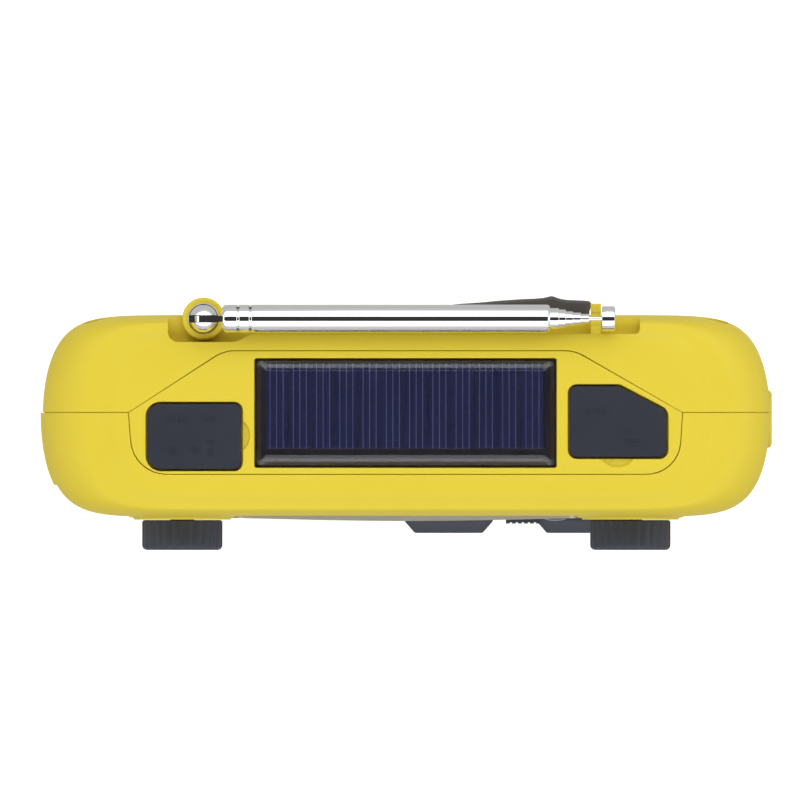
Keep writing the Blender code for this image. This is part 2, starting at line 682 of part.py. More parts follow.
def antenna():
    """Swivel knuckle, hinge pin, main tube with its tongue, nested tubes, and the tip."""
    axis_z = CASE_TOP + ANTENNA_LIFT
    pivot = (ANTENNA_X, ANTENNA_Y, axis_z)
    across = (ANTENNA_X, ANTENNA_Y)
    flange = CASE_TOP - 2.0 + GAP
    neck_angle = math.radians(-48)
    profile = [(0, flange - 11), (SWIVEL_RADIUS, flange - 11), (SWIVEL_RADIUS, flange), (3.9, flange), (3.9, flange + 1.0)]
    for step in range(9):
        turn = neck_angle + (math.pi / 2 - neck_angle) * step / 8
        radius = 0 if step == 8 else BALL_RADIUS * math.cos(turn)
        profile.append((radius, axis_z + BALL_RADIUS * math.sin(turn)))
    knuckle = place("antenna_knuckle", turned(profile, "Z", across, 20), chrome, pivot)
    slot_half = TONGUE / 2 + TONGUE_GAP
    slot = block((ANTENNA_X - 6, ANTENNA_Y - slot_half, axis_z - 2.6), (ANTENNA_X + 6, ANTENNA_Y + slot_half, axis_z + 6))
    combine(knuckle, "DIFFERENCE", slot)
    combine(knuckle, "DIFFERENCE", rod("Y", (ANTENNA_X, axis_z), 0.72, ANTENNA_Y - 6, ANTENNA_Y + 6, 12))
    pin = rod("Y", (ANTENNA_X, axis_z), 0.6, ANTENNA_Y - 3.1, ANTENNA_Y + 3.1, 12)
    place("antenna_hinge_pin", pin, steel, pivot)

    line = (ANTENNA_Y, axis_z)
    outer = TUBE_DIAMETERS[0] / 2
    start = ANTENNA_X + 4.6
    bore = TUBE_DIAMETERS[1] / 2 + SLIDE_CLEARANCE
    profile = [(0, start), (outer - 0.9, start), (outer, start + 1.1)]
    for groove in (start + 4.0, start + 7.1):
        profile += [(outer, groove - 0.35), (outer - 0.2, groove), (outer, groove + 0.35)]
    profile += [(outer, TUBE_ENDS[0]), (0, TUBE_ENDS[0])]
    main = place("antenna_main_tube", turned(profile, "X", line, 20), chrome, pivot)
    tongue = [(start + 1.7, axis_z - 1.5), (start + 1.7, axis_z + 1.5)]
    for step in range(9):
        angle = math.radians(90 + 22.5 * step)
        tongue.append((ANTENNA_X + 2.2 * math.cos(angle), axis_z + 2.2 * math.sin(angle)))
    combine(main, "UNION", prism(tongue, "Y", ANTENNA_Y - TONGUE / 2, ANTENNA_Y + TONGUE / 2))
    combine(main, "DIFFERENCE", rod("X", line, bore, start + 2.5, TUBE_ENDS[0] + 5, 20))
    combine(main, "DIFFERENCE", rod("Y", (ANTENNA_X, axis_z), 0.72, ANTENNA_Y - 6, ANTENNA_Y + 6, 12))
    for index in range(1, len(TUBE_DIAMETERS)):
        inner = ROD_DIAMETER if index == len(TUBE_DIAMETERS) - 1 else TUBE_DIAMETERS[index + 1]
        low = start + 2.5 + 0.6 * index
        ring = ((inner / 2 + SLIDE_CLEARANCE, low), (TUBE_DIAMETERS[index] / 2, low),
                (TUBE_DIAMETERS[index] / 2, TUBE_ENDS[index]), (inner / 2 + SLIDE_CLEARANCE, TUBE_ENDS[index]))
        place(f"antenna_tube_{index + 1}", turned(ring, "X", line, 16, ring=True), chrome, (low, *line))
    low = start + 2.5 + 0.6 * len(TUBE_DIAMETERS)
    cap = CAP_DIAMETER / 2
    tip = turned(
        ((0, low), (ROD_DIAMETER / 2, low), (ROD_DIAMETER / 2, CAP_START), (cap - 0.3, CAP_START), (cap, CAP_START + 0.3),
         (cap, CAP_START + CAP_LENGTH - 0.5), (cap - 0.5, CAP_START + CAP_LENGTH), (0, CAP_START + CAP_LENGTH)),
        "X", line, 20)
    place("antenna_tip", tip, chrome, (low, *line))


def crank():
    """Arm with a slot for the folded grip, the grip's yoke and sleeve, and the bushing."""
    centre = (CRANK_X, CRANK_Z)
    tip_x = CRANK_X + CRANK_REACH
    back = REAR - DISH_DEPTH + 0.4
    tip_radius = 6.6
    outline = []
    for step in range(13):
        angle = math.radians(90 + 15 * step)
        outline.append((CRANK_X + 7.5 * math.cos(angle), CRANK_Z + 7.5 * math.sin(angle)))
    for step in range(13):
        angle = math.radians(-90 + 15 * step)
        outline.append((tip_x - tip_radius + tip_radius * math.cos(angle), CRANK_Z + tip_radius * math.sin(angle)))
    arm = place("crank_arm", prism(outline, "Y", back, REAR + 8), dark_plastic, (CRANK_X, REAR, CRANK_Z))
    peak_x = tip_x - 9.5
    side = [
        (CRANK_X - 20, back - 5),
        (tip_x + 5, back - 5),
        (tip_x + 5, REAR + 0.35),
        (tip_x, REAR + 0.35),
        (tip_x - 0.1, REAR + CRANK_PROUD - 1.2),
        (peak_x + 2.4, REAR + CRANK_PROUD - 0.5),
        (peak_x, REAR + CRANK_PROUD),
        (peak_x - 1.8, REAR + CRANK_PROUD - 0.5),
        (CRANK_X, REAR + 2.5),
        (CRANK_X - 8, REAR + 1.9),
        (CRANK_X - 20, REAR + 1.9),
    ]
    combine(arm, "INTERSECT", prism(side, "Z", 0, 90))
    slot = block((CRANK_X + 6.8, back - 5, CRANK_Z - 3.9), (tip_x + 5, REAR + 20, CRANK_Z + 3.9))
    hinge = (tip_x - 4.3, GRIP_Y)
    combine(arm, "DIFFERENCE", slot, rod("Z", hinge, 1.3, CRANK_Z - 20, CRANK_Z + 20, 16))
    combine(arm, "DIFFERENCE", rod("Y", centre, AXLE_RADIUS + 0.15, back - 5, REAR + 0.6, 20))

    origin = (*hinge, CRANK_Z)
    yoke = place("grip_yoke", rod("Z", hinge, 2.9, CRANK_Z - 3.6, CRANK_Z + 3.6), dark_plastic, origin)
    combine(yoke, "UNION", rod("Z", hinge, 1.1, CRANK_Z - 5.0, CRANK_Z + 5.0, 16))
    far = CRANK_X + 7.3
    shank = turned(
        ((0, hinge[0] - 1), (1.3, hinge[0] - 1), (1.3, far + 1.1), (2.3, far + 1.1), (2.3, far + 0.3), (0, far + 0.3)),
        "X", (GRIP_Y, CRANK_Z), 16)
    combine(yoke, "UNION", shank)
    near = hinge[0] - 3.2
    sleeve = turned(
        ((1.6, near), (GRIP_RADIUS - 0.4, near), (GRIP_RADIUS, near - 0.8), (GRIP_RADIUS - 0.35, (near + far) / 2),
         (GRIP_RADIUS, far + 1.2), (GRIP_RADIUS - 0.5, far + 0.3), (2.6, far + 0.3), (2.6, far + 1.6), (1.6, far + 1.6)),
        "X", (GRIP_Y, CRANK_Z), 24, ring=True)
    place("grip_sleeve", sleeve, dark_plastic, ((near + far) / 2, GRIP_Y, CRANK_Z))

    inner = AXLE_RADIUS + 0.1
    low, high = REAR - DISH_DEPTH - WALL - 1.2, REAR - DISH_DEPTH - 0.05
    bushing = turned(
        ((inner, low), (BUSHING_RADIUS + 1.4, low), (BUSHING_RADIUS + 1.4, low + 0.9), (BUSHING_RADIUS, low + 0.9),
         (BUSHING_RADIUS, high), (inner, high)), "Y", centre, 24, ring=True)
    place("crank_bushing", bushing, brass)


GRIP_Y = REAR + 0.72


def gear_train():
    """Crank gear on its axle, stepped idler, generator pinion and the generator."""
    crank_centre = (CRANK_X, CRANK_Z)
    spacing = (CRANK_TEETH + IDLER_SMALL_TEETH) * TOOTH_MODULE / 2
    idler_centre = (
        CRANK_X + spacing * math.cos(IDLER_DIRECTION),
        CRANK_Z + spacing * math.sin(IDLER_DIRECTION),
    )
    spacing = (IDLER_LARGE_TEETH + GENERATOR_TEETH) * TOOTH_MODULE / 2
    generator_centre = (
        idler_centre[0] + spacing * math.cos(GENERATOR_DIRECTION),
        idler_centre[1] + spacing * math.sin(GENERATOR_DIRECTION),
    )
    rear_layer = REAR - DISH_DEPTH - WALL - 1.5
    front_layer = rear_layer - 3.3
    outline = gear_outline(CRANK_TEETH, IDLER_DIRECTION, crank_centre)
    gear = place("crank_gear", prism(outline, "Y", rear_layer - 2.8, rear_layer), nylon, (CRANK_X, rear_layer, CRANK_Z))
    combine(gear, "UNION", rod("Y", crank_centre, AXLE_RADIUS, rear_layer - 1, REAR + 0.3, 20))

    phase = IDLER_DIRECTION + math.pi + math.pi / IDLER_SMALL_TEETH
    outline = gear_outline(IDLER_SMALL_TEETH, phase, idler_centre)
    origin = (idler_centre[0], rear_layer, idler_centre[1])
    idler = place("idler_gear", prism(outline, "Y", front_layer - 0.5, rear_layer), nylon, origin)
    outline = gear_outline(IDLER_LARGE_TEETH, GENERATOR_DIRECTION, idler_centre)
    combine(idler, "UNION", prism(outline, "Y", front_layer - 2.2, front_layer))
    combine(idler, "UNION", rod("Y", idler_centre, 1.2, front_layer - 4, rear_layer + 1.0, 12))

    phase = GENERATOR_DIRECTION + math.pi + math.pi / GENERATOR_TEETH
    outline = gear_outline(GENERATOR_TEETH, phase, generator_centre)
    can_rear = front_layer - 2.7
    origin = (generator_centre[0], can_rear, generator_centre[1])
    pinion = place("generator_pinion", prism(outline, "Y", can_rear + 0.3, front_layer + 0.2), brass, origin)
    combine(pinion, "UNION", rod("Y", generator_centre, 0.9, can_rear - 4, front_layer, 12))
    can = turned(
        ((1.2, can_rear - 14), (11.2, can_rear - 14), (12.0, can_rear - 13.2), (12.0, can_rear - 0.8), (11.2, can_rear),
         (1.2, can_rear)), "Y", generator_centre, 28, ring=True)
    place("generator", can, steel)


def fascia():
    """Bowed silver plate with the speaker slots and openings for the controls."""
    back = FRONT + FASCIA_DEPTH - GAP
    face = FRONT - 0.15
    width = KNOB_X + 8
    bow = [(width, back), (width, face)]
    for step in range(1, 12):
        share = 1 - 2 * step / 12
        bow.append((width * share, face - FASCIA_BULGE * (1 - share * share)))
    bow += [(-width, face), (-width, back)]
    plate = place("front_fascia", prism(fascia_outline(), "Y", FRONT - 5, back), silver)
    combine(plate, "INTERSECT", prism(bow, "Z", 0, CASE_TOP))
    low_x, high_x, low_z, high_z = DIAL_BOX
    opening = prism(rounded_box(low_x, high_x, low_z, high_z, 1.5), "Y", FRONT - 10, back + 5)
    combine(plate, "DIFFERENCE", opening)
    for x in BUTTON_XS:
        combine(plate, "DIFFERENCE", prism(button_outline(x, GAP), "Y", FRONT - 10, back + 5))
    combine(plate, "DIFFERENCE", prism(switch_slot(SWITCH_NUB[1] / 2 + GAP), "Y", FRONT - 10, back + 5))
    for row in range(-3, 4):
        z = row * 4.4
        half = math.sqrt((SPEAKER_RADIUS - 3.5) ** 2 - z * z)
        slit = rounded_box(SPEAKER_X - half, SPEAKER_X + half, SPEAKER_Z + z - 1.1, SPEAKER_Z + z + 1.1, 1.0, 2)
        combine(plate, "DIFFERENCE", prism(slit, "Y", FRONT - 10, back + 5))
    lamp = (SIGNAL_X, SIGNAL_Z)
    combine(plate, "DIFFERENCE", rod("Y", lamp, SIGNAL_RADIUS + GAP, FRONT - 10, back + 5, 20))
    dome = turned(
        ((0, back), (SIGNAL_RADIUS, back), (SIGNAL_RADIUS, FRONT - 0.3), (SIGNAL_RADIUS - 0.8, FRONT - 0.7),
         (0, FRONT - 0.9)), "Y", lamp, 20)
    place("signal_lamp", dome, smoke_plastic)
    window = prism(rounded_box(low_x + GAP, high_x - GAP, low_z + GAP, high_z - GAP, 1.2), "Y", FRONT - 0.6, back)
    place("dial_window", window, clear_plastic)


SIGNAL_X = 37.2
SIGNAL_Z = CASE_TOP - 13.5
SIGNAL_RADIUS = 2.8


def knob(name, x, stem_end):
    """Fluted knob, open at the back for its shaft or with a stem of its own."""
    back = FRONT - BOSS_PROUD - GAP
    face = back - KNOB_HEIGHT

    def fluted(scale, y):
        steps = 48
        points = []
        for step in range(steps):
            radius = (KNOB_RADIUS if step % 2 else KNOB_RADIUS - 0.3) - scale
            angle = 2 * math.pi * step / steps
            points.append((x + radius * math.cos(angle), y, KNOB_Z + radius * math.sin(angle)))
        return points

    body = loft([fluted(0, back), fluted(0, face + 1.2), fluted(0.4, face + 0.3), fluted(1.2, face)])
    made = place(name, body, dark_plastic, (x, back, KNOB_Z))
    mark = block((x - 0.6, face - 1, KNOB_Z + 3.5), (x + 0.6, face + 0.4, KNOB_Z + 9))
    combine(made, "DIFFERENCE", mark)
    if stem_end is not None:
        combine(made, "UNION", rod("Y", (x, KNOB_Z), STEM_RADIUS, back - 1, stem_end, 20))
    return made


def tuning_and_volume():
    """Both knobs, the volume control, and the tuning shaft whose pinion drives the pointer's rack."""
    inner_wall = FRONT + WALL
    knob("volume_knob", -KNOB_X, inner_wall + 5)
    tuning = knob("tuning_knob", KNOB_X, None)
    back = FRONT - BOSS_PROUD - GAP
    combine(tuning, "DIFFERENCE", rod("Y", (KNOB_X, KNOB_Z), STEM_RADIUS + 0.15, back - 5, back + 5, 20))
    volume = place("volume_control", prism(rounded_box(-KNOB_X - 8, -KNOB_X + 8, KNOB_Z - 8, KNOB_Z + 8, 2), "Y",
                                           inner_wall + 1.2, inner_wall + 10), steel)
    combine(volume, "DIFFERENCE", rod("Y", (-KNOB_X, KNOB_Z), STEM_RADIUS + 0.2, inner_wall - 5, inner_wall + 6, 20))
    pinion_low, pinion_high = inner_wall + 1.2, inner_wall + 3.2
    shaft = turned(
        ((0, back - 4.7), (STEM_RADIUS, back - 4.7), (STEM_RADIUS, inner_wall + 0.6), (1.6, inner_wall + 0.6),
         (1.6, inner_wall + 8), (0, inner_wall + 8)), "Y", (KNOB_X, KNOB_Z), 20)
    piece = place("tuning_shaft", shaft, brass, (KNOB_X, inner_wall, KNOB_Z))
    up = math.pi / 2
    combine(piece, "UNION", prism(gear_outline(RACK_TEETH_WHEEL, up, (KNOB_X, KNOB_Z)), "Y", pinion_low, pinion_high))
    capacitor = place("tuning_capacitor", block((KNOB_X - 10, pinion_high + 0.6, KNOB_Z - 10),
                                                (KNOB_X + 10, pinion_high + 10.6, KNOB_Z + 10)), grey_plastic)
    combine(capacitor, "DIFFERENCE", rod("Y", (KNOB_X, KNOB_Z), 1.9, pinion_high - 5, pinion_high + 7, 20))

    pitch = math.pi * TOOTH_MODULE
    pitch_line = KNOB_Z + RACK_TEETH_WHEEL * TOOTH_MODULE / 2
    travel = RACK_TEETH_WHEEL * TOOTH_MODULE / 2 * TUNING_TURN
    root, tip = pitch_line + 1.1 * TOOTH_MODULE, pitch_line - 0.7 * TOOTH_MODULE
    pointer_x = DIAL_BOX[0] + 5
    first = -math.floor((travel + 3) / pitch)
    right = KNOB_X + 1.2 * pitch
    outline = [(pointer_x - 1, root + 2.2), (pointer_x - 1, root)]
    for tooth in range(first, 2):
        middle = KNOB_X + (tooth - 0.5) * pitch
        for share, z in ((-0.27, root), (-0.11, tip), (0.11, tip), (0.27, root)):
            outline.append((middle + share * pitch, z))
    outline += [(right, root), (right, root + 2.2)]
    pointer = place("dial_pointer", prism(outline, "Y", pinion_low + 0.1, pinion_high - 0.1), pointer_red,
                    (pointer_x, pinion_low, pitch_line))
    needle = block((pointer_x - 0.6, pinion_low - 0.6, DIAL_BOX[2] + 1.5), (pointer_x + 0.6, pinion_low + 0.9, root + 2.0))
    combine(pointer, "UNION", needle)


TUNING_TURN = math.radians(270)


def push_controls():
    """Two chamfered push buttons and the slide switch, each with a flange behind the wall."""
    face = FRONT - FASCIA_BULGE - 0.15
    inner_wall = FRONT + WALL
    half_x, half_z = BUTTON_SIZE[0] / 2, BUTTON_SIZE[1] / 2
    for name, x in (("left_button", BUTTON_XS[0]), ("right_button", BUTTON_XS[1])):
        def ring(shrink_x, shrink_z, y, centre=x):
            outline = rounded_box(centre - half_x + shrink_x, centre + half_x - shrink_x,
                                  BUTTON_Z - half_z + shrink_z, BUTTON_Z + half_z - shrink_z, 2.0, 3)
            return [(u, y, v) for u, v in outline]
        cap = loft([ring(0, 0, inner_wall + 0.6), ring(0, 0, face + 0.3), ring(2.2, 1.0, face - BUTTON_PROUD + 1.3),
                    ring(3.0, 1.8, face - BUTTON_PROUD)])
        button = place(name, cap, dark_plastic, (x, face, BUTTON_Z))
        flange = rounded_box(x - half_x - 1, x + half_x + 1, BUTTON_Z - half_z - 1, BUTTON_Z + half_z + 1, 2.5, 3)
        combine(button, "UNION", prism(flange, "Y", inner_wall + 0.4, inner_wall + 1.6))
    nub_x, nub_z = SWITCH_NUB[0] / 2, SWITCH_NUB[1] / 2
    back = FRONT + FASCIA_DEPTH + GAP
    nub = prism(rounded_box(SWITCH_X - nub_x, SWITCH_X + nub_x, SWITCH_Z - nub_z, SWITCH_Z + nub_z, 0.6, 2), "Y",
                face - 0.65, FRONT + FASCIA_DEPTH - GAP)
    switch = place("band_switch", nub, dark_plastic, (SWITCH_X, face, SWITCH_Z))
    stem = block((SWITCH_X - nub_x, back - 1.5, SWITCH_Z - 1.0), (SWITCH_X + nub_x, inner_wall + 1.0, SWITCH_Z + 1.0))
    tail = block((SWITCH_X - nub_x - 3, inner_wall + 0.4, SWITCH_Z - 2.4), (SWITCH_X + nub_x + 3, inner_wall + 1.4, SWITCH_Z + 2.4))
    combine(switch, "UNION", stem, tail)
    for step in range(-2, 3):
        groove = block((SWITCH_X + step * 1.5 - 0.25, face - 2, SWITCH_Z - 3), (SWITCH_X + step * 1.5 + 0.25, face - 0.35, SWITCH_Z + 3))
        combine(switch, "DIFFERENCE", groove)


def speaker():
    """Basket with its magnet, and the cone inside it."""
    wall = FRONT + WALL + GAP
    centre = (SPEAKER_X, SPEAKER_Z)
    frame = turned(
        ((SPEAKER_RADIUS - 2.2, wall), (SPEAKER_RADIUS, wall), (SPEAKER_RADIUS, wall + 1.4), (SPEAKER_RADIUS - 1.2, wall + 2.4),
         (11.0, wall + 7.5), (11.0, wall + 13), (0, wall + 13), (0, wall + 8.5), (9.0, wall + 8.5), (9.0, wall + 7),
         (SPEAKER_RADIUS - 2.2, wall + 1.2)), "Y", centre, 32, ring=True)
    place("speaker_frame", frame, steel)
    cone = turned(
        ((SPEAKER_RADIUS - 3.2, wall + 0.3), (SPEAKER_RADIUS - 2.7, wall + 0.7), (SPEAKER_RADIUS - 4.9, wall + 1.0),
         (7.2, wall + 7.0), (7.2, wall + 7.9), (0, wall + 7.9), (0, wall + 4.6), (3.5, wall + 5.0), (6.0, wall + 6.2)),
        "Y", centre, 32, ring=True)
    place("speaker_cone", cone, paper)


def inner_pieces():
    """Circuit board, backup pack, ferrite rod antenna, flashlight pieces, feet and screws."""
    board = block((-42, -4.6, 12), (38, -3.0, CASE_TOP - 14))
    place("main_board", board, board_green)
    pack_x = HALF_WIDTH - 38
    pack = prism(rounded_box(pack_x, pack_x + 22, -8, 14, 4, 3), "Z", FOOT_HEIGHT + WALL + 4, FOOT_HEIGHT + WALL + 20)
    place("backup_pack", pack, pack_green)
    ferrite = turned(
        ((0, -28), (4.2, -28), (4.2, -12), (5.4, -12), (5.4, 8), (4.2, 8), (4.2, 34), (0, 34)),
        "X", (REAR - 16.5, CASE_TOP - 13.0), 16)
    place("ferrite_rod", ferrite, ferrite_grey)

    lamp = (LAMP_Y, LAMP_Z)
    face = HALF_WIDTH + PAD_PROUD
    bezel = turned(
        ((LAMP_RADIUS - 0.8, HALF_WIDTH - 11), (LAMP_RADIUS, HALF_WIDTH - 11), (LAMP_RADIUS, HALF_WIDTH - 1.0),
         (LAMP_RADIUS + 0.9, HALF_WIDTH - 1.0), (LAMP_RADIUS + 0.9, face - 0.5), (LAMP_RADIUS + 0.4, face),
         (LAMP_RADIUS - 0.8, face)), "X", lamp, 28, ring=True)
    place("flashlight_bezel", bezel, dark_plastic)
    lens_radius = LAMP_RADIUS - 0.8 - 0.15
    lens = turned(
        ((0, face - 2.2), (lens_radius, face - 2.2), (lens_radius, face - 1.0), (lens_radius - 1.2, face - 0.6), (0, face - 0.4)),
        "X", lamp, 24)
    place("flashlight_lens", lens, clear_plastic)
    deep = HALF_WIDTH - 10.5
    reflector = turned(
        ((0, deep), (3.0, deep), (lens_radius - 0.4, face - 4.4), (lens_radius, face - 3.6), (lens_radius, face - 2.5),
         (lens_radius - 0.5, face - 2.5), (lens_radius - 0.9, face - 4.4), (2.0, deep + 1.6), (1.3, deep + 1.6),
         (1.3, deep + 3.0), (0.8, deep + 3.8), (0, deep + 4.0)), "X", lamp, 24)
    place("flashlight_reflector", reflector, mirror_finish)

    names = {(-1, -1): "foot_front_left", (1, -1): "foot_front_right", (-1, 1): "foot_rear_left", (1, 1): "foot_rear_right"}
    for (side_x, side_y), name in names.items():
        x, y = FOOT_XS[side_x > 0], FOOT_YS[side_y > 0]
        foot = turned(
            ((0, 0), (FOOT_RADIUS - 0.8, 0), (FOOT_RADIUS, 0.8), (FOOT_RADIUS, FOOT_HEIGHT + 0.5), (0, FOOT_HEIGHT + 0.5)),
            "Z", (x, y), 20)
        place(name, foot, rubber)
    for index, (x, z) in enumerate(SCREW_PLACES):
        screw = turned(
            ((0, SCREW_SEAT_Y - 20), (SCREW_RADIUS, SCREW_SEAT_Y - 19), (SCREW_RADIUS, SCREW_SEAT_Y + 0.3),
             (2.6, SCREW_SEAT_Y + 0.3), (2.6, SCREW_SEAT_Y + 1.4), (1.8, SCREW_SEAT_Y + 2.0), (0, SCREW_SEAT_Y + 2.1)),
            "Y", (x, z), 14)
        made = place(f"case_screw_{index + 1}", screw, steel)
        for angle in (0, 1):
            half = (1.5, 0.25) if angle else (0.25, 1.5)
            cross = block((x - half[0], SCREW_SEAT_Y + 1.2, z - half[1]), (x + half[0], SCREW_SEAT_Y + 5, z + half[1]))
            combine(made, "DIFFERENCE", cross)


def battery_bay():
    """Tray behind the battery door, three cells, and the door on its film hinge."""
    rear = REAR - 4.2
    front = rear - BAY_DEPTH
    wall = 1.2
    low_x, high_x = BAY_X[0] - 0.2, BAY_X[1] + 0.6
    low_z, high_z = BAY_Z[0] + 0.2, BAY_Z[1] - 0.2
    tray = place("battery_tray", block((low_x - wall, front, low_z - wall), (high_x + wall, rear, high_z + wall)), black_plastic)
    combine(tray, "DIFFERENCE", block((low_x, front + wall, low_z), (high_x, rear + 5, high_z)))
    for row in (-0.5, 0.5):
        middle = (low_z + high_z) / 2 + row * (2 * CELL_RADIUS + 0.3)
        rib = block((low_x - 0.5, front + 0.5, middle - 0.4), (high_x + 0.5, front + 3.4, middle + 0.4))
        combine(tray, "UNION", rib)
    centre_x = (low_x + high_x) / 2
    for row in range(3):
        z = (low_z + high_z) / 2 + (row - 1) * (2 * CELL_RADIUS + 0.3)
        side = 1 if row % 2 else -1
        end = CELL_LENGTH / 2
        cell = turned(
            ((0, centre_x - side * end), (CELL_RADIUS - 0.5, centre_x - side * end), (CELL_RADIUS, centre_x - side * (end - 0.5)),
             (CELL_RADIUS, centre_x + side * (end - 2.0)), (CELL_RADIUS - 0.5, centre_x + side * (end - 1.5)),
             (2.6, centre_x + side * (end - 1.5)), (2.6, centre_x + side * end), (0, centre_x + side * end)),
            "X", (front + wall + GAP + CELL_RADIUS, z), 20)
        place(f"battery_cell_{row + 1}", cell, cell_wrap)

    hinge_x = BAY_X[0] + 1.5
    surface = HALF_DEPTH * math.sqrt(1 - (-hinge_x / HALF_WIDTH) ** OUTLINE_POWER)
    hinge = (hinge_x, surface - 0.8, 0.0)
    door = place("battery_door", case_solid(), yellow, hinge)
    inset = prism(rounded_box(BAY_X[0] + 0.6, BAY_X[1] - GAP, BAY_Z[0] + GAP, BAY_Z[1] - GAP, 1.8, 3), "Y", REAR - WALL - 0.6, REAR + 5)
    combine(door, "INTERSECT", inset)
    for row in range(5):
        z = (BAY_Z[0] + BAY_Z[1]) / 2 + (row - 2) * 2.2
        grip = block((BAY_X[1] - 9, REAR - 0.4, z - 0.5), (BAY_X[1] - 3, REAR + 5, z + 0.5))
        combine(door, "DIFFERENCE", grip)


for leftover in list(bpy.data.objects):
    bpy.data.objects.remove(leftover)

radio = bpy.data.objects.new("radio", None)
radio.location = (0.0, CENTRE_SHIFT * MM, 0.0)
bpy.context.scene.collection.objects.link(radio)

yellow = material("yellow_plastic", (0.86, 0.68, 0.04), 0.42)
dark_plastic = material("dark_plastic", (0.05, 0.05, 0.058), 0.5)
grey_plastic = material("grey_plastic", (0.35, 0.35, 0.36), 0.5)
black_plastic = material("black_plastic", (0.02, 0.02, 0.022), 0.45)
rubber = material("rubber", (0.045, 0.05, 0.065), 0.65)
silver = material("silver_paint", (0.63, 0.62, 0.6), 0.35, 0.6)
chrome = material("chrome", (0.85, 0.85, 0.86), 0.06, 1.0)
steel = material("steel", (0.6, 0.6, 0.61), 0.3, 1.0)
brass = material("brass", (0.75, 0.58, 0.28), 0.3, 1.0)
mirror_finish = material("mirror_finish", (0.9, 0.9, 0.92), 0.05, 1.0)
clear_plastic = material("clear_plastic", (0.9, 0.93, 0.95), 0.03, 0.0, 0.9)
smoke_plastic = material("smoke_plastic", (0.02, 0.02, 0.03), 0.1)
cell_blue = material("cell_blue", (0.02, 0.025, 0.07), 0.2)
nylon = material("nylon", (0.85, 0.84, 0.78), 0.5)
paper = material("paper_cone", (0.05, 0.05, 0.05), 0.8)
board_green = material("board_green", (0.03, 0.18, 0.08), 0.4)
pack_green = material("pack_green", (0.1, 0.4, 0.2), 0.4)
cell_wrap = material("cell_wrap", (0.25, 0.26, 0.3), 0.3)
ferrite_grey = material("ferrite_grey", (0.08, 0.08, 0.08), 0.6)
pointer_red = material("pointer_red", (0.7, 0.05, 0.03), 0.4)

front_shell()
rear_shell()
top_panel()
solar_pieces()
port_covers()
sockets()
antenna()
crank()
gear_train()
fascia()
tuning_and_volume()
push_controls()
speaker()
inner_pieces()
battery_bay()
bpy.context.view_layer.update()
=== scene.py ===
import math

import bmesh
import bpy
import numpy as np
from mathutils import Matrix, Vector


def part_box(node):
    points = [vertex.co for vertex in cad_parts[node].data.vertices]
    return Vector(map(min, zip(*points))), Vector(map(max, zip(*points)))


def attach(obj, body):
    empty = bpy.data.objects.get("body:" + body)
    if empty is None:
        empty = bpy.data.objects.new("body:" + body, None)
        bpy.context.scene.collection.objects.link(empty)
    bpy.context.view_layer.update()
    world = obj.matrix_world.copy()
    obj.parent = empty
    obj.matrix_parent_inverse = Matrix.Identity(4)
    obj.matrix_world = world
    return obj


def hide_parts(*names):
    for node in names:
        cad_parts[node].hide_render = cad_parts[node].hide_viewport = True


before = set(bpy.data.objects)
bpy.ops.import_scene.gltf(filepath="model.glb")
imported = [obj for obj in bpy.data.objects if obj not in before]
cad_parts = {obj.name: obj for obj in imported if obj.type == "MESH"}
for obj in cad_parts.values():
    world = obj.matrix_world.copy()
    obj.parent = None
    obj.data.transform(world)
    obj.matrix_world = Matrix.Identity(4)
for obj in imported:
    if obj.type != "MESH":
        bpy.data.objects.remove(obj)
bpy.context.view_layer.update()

# ----------------------------------------
# Studio: a plain pale table, and soft light from all round that is brighter above and behind.
# A narrow dark gap between the two halves of the soft light gives chrome its thin dark line.

MM = 0.001


def solid(name, points, faces):
    """A mesh object from points in millimetres and faces as index lists, doubles merged, normals outward."""
    mesh = bpy.data.meshes.new(name)
    mesh.from_pydata((np.asarray(points, float) * MM).tolist(), [], faces)
    work = bmesh.new()
    work.from_mesh(mesh)
    bmesh.ops.remove_doubles(work, verts=work.verts, dist=1e-6)
    bmesh.ops.recalc_face_normals(work, faces=work.faces)
    work.to_mesh(mesh)
    work.free()
    piece = bpy.data.objects.new(name, mesh)
    bpy.context.scene.collection.objects.link(piece)
    return piece


table_edge = 4000.0
floor_corners = [(-table_edge, -table_edge, 0), (table_edge, -table_edge, 0),
                 (table_edge, table_edge, 0), (-table_edge, table_edge, 0)]
floor = solid("studio_floor", floor_corners, [[0, 1, 2, 3]])
floor.visible_diffuse = floor.visible_glossy = False


def operator(operation, reflected=False):
    """An operator that adds one Math node; the reflected form has the number on its left."""
    def act(self, other=0.0):
        first, second = (other, self) if reflected else (self, other)
        return self.finish.node("ShaderNodeMath", {"operation": operation}, {0: first, 1: second})
    return act


class Signal:
    """A number on its way between nodes: arithmetic on it adds Math nodes to its finish."""

    def __init__(self, finish, socket):
        self.finish, self.socket = finish, socket

    __add__, __radd__ = operator("ADD"), operator("ADD", True)
    __sub__, __rsub__ = operator("SUBTRACT"), operator("SUBTRACT", True)
    __mul__, __rmul__ = operator("MULTIPLY"), operator("MULTIPLY", True)
    __truediv__, __rtruediv__ = operator("DIVIDE"), operator("DIVIDE", True)
    __lt__, __gt__, __abs__ = operator("LESS_THAN"), operator("GREATER_THAN"), operator("ABSOLUTE")
    fraction, top = operator("FRACT"), operator("MAXIMUM")


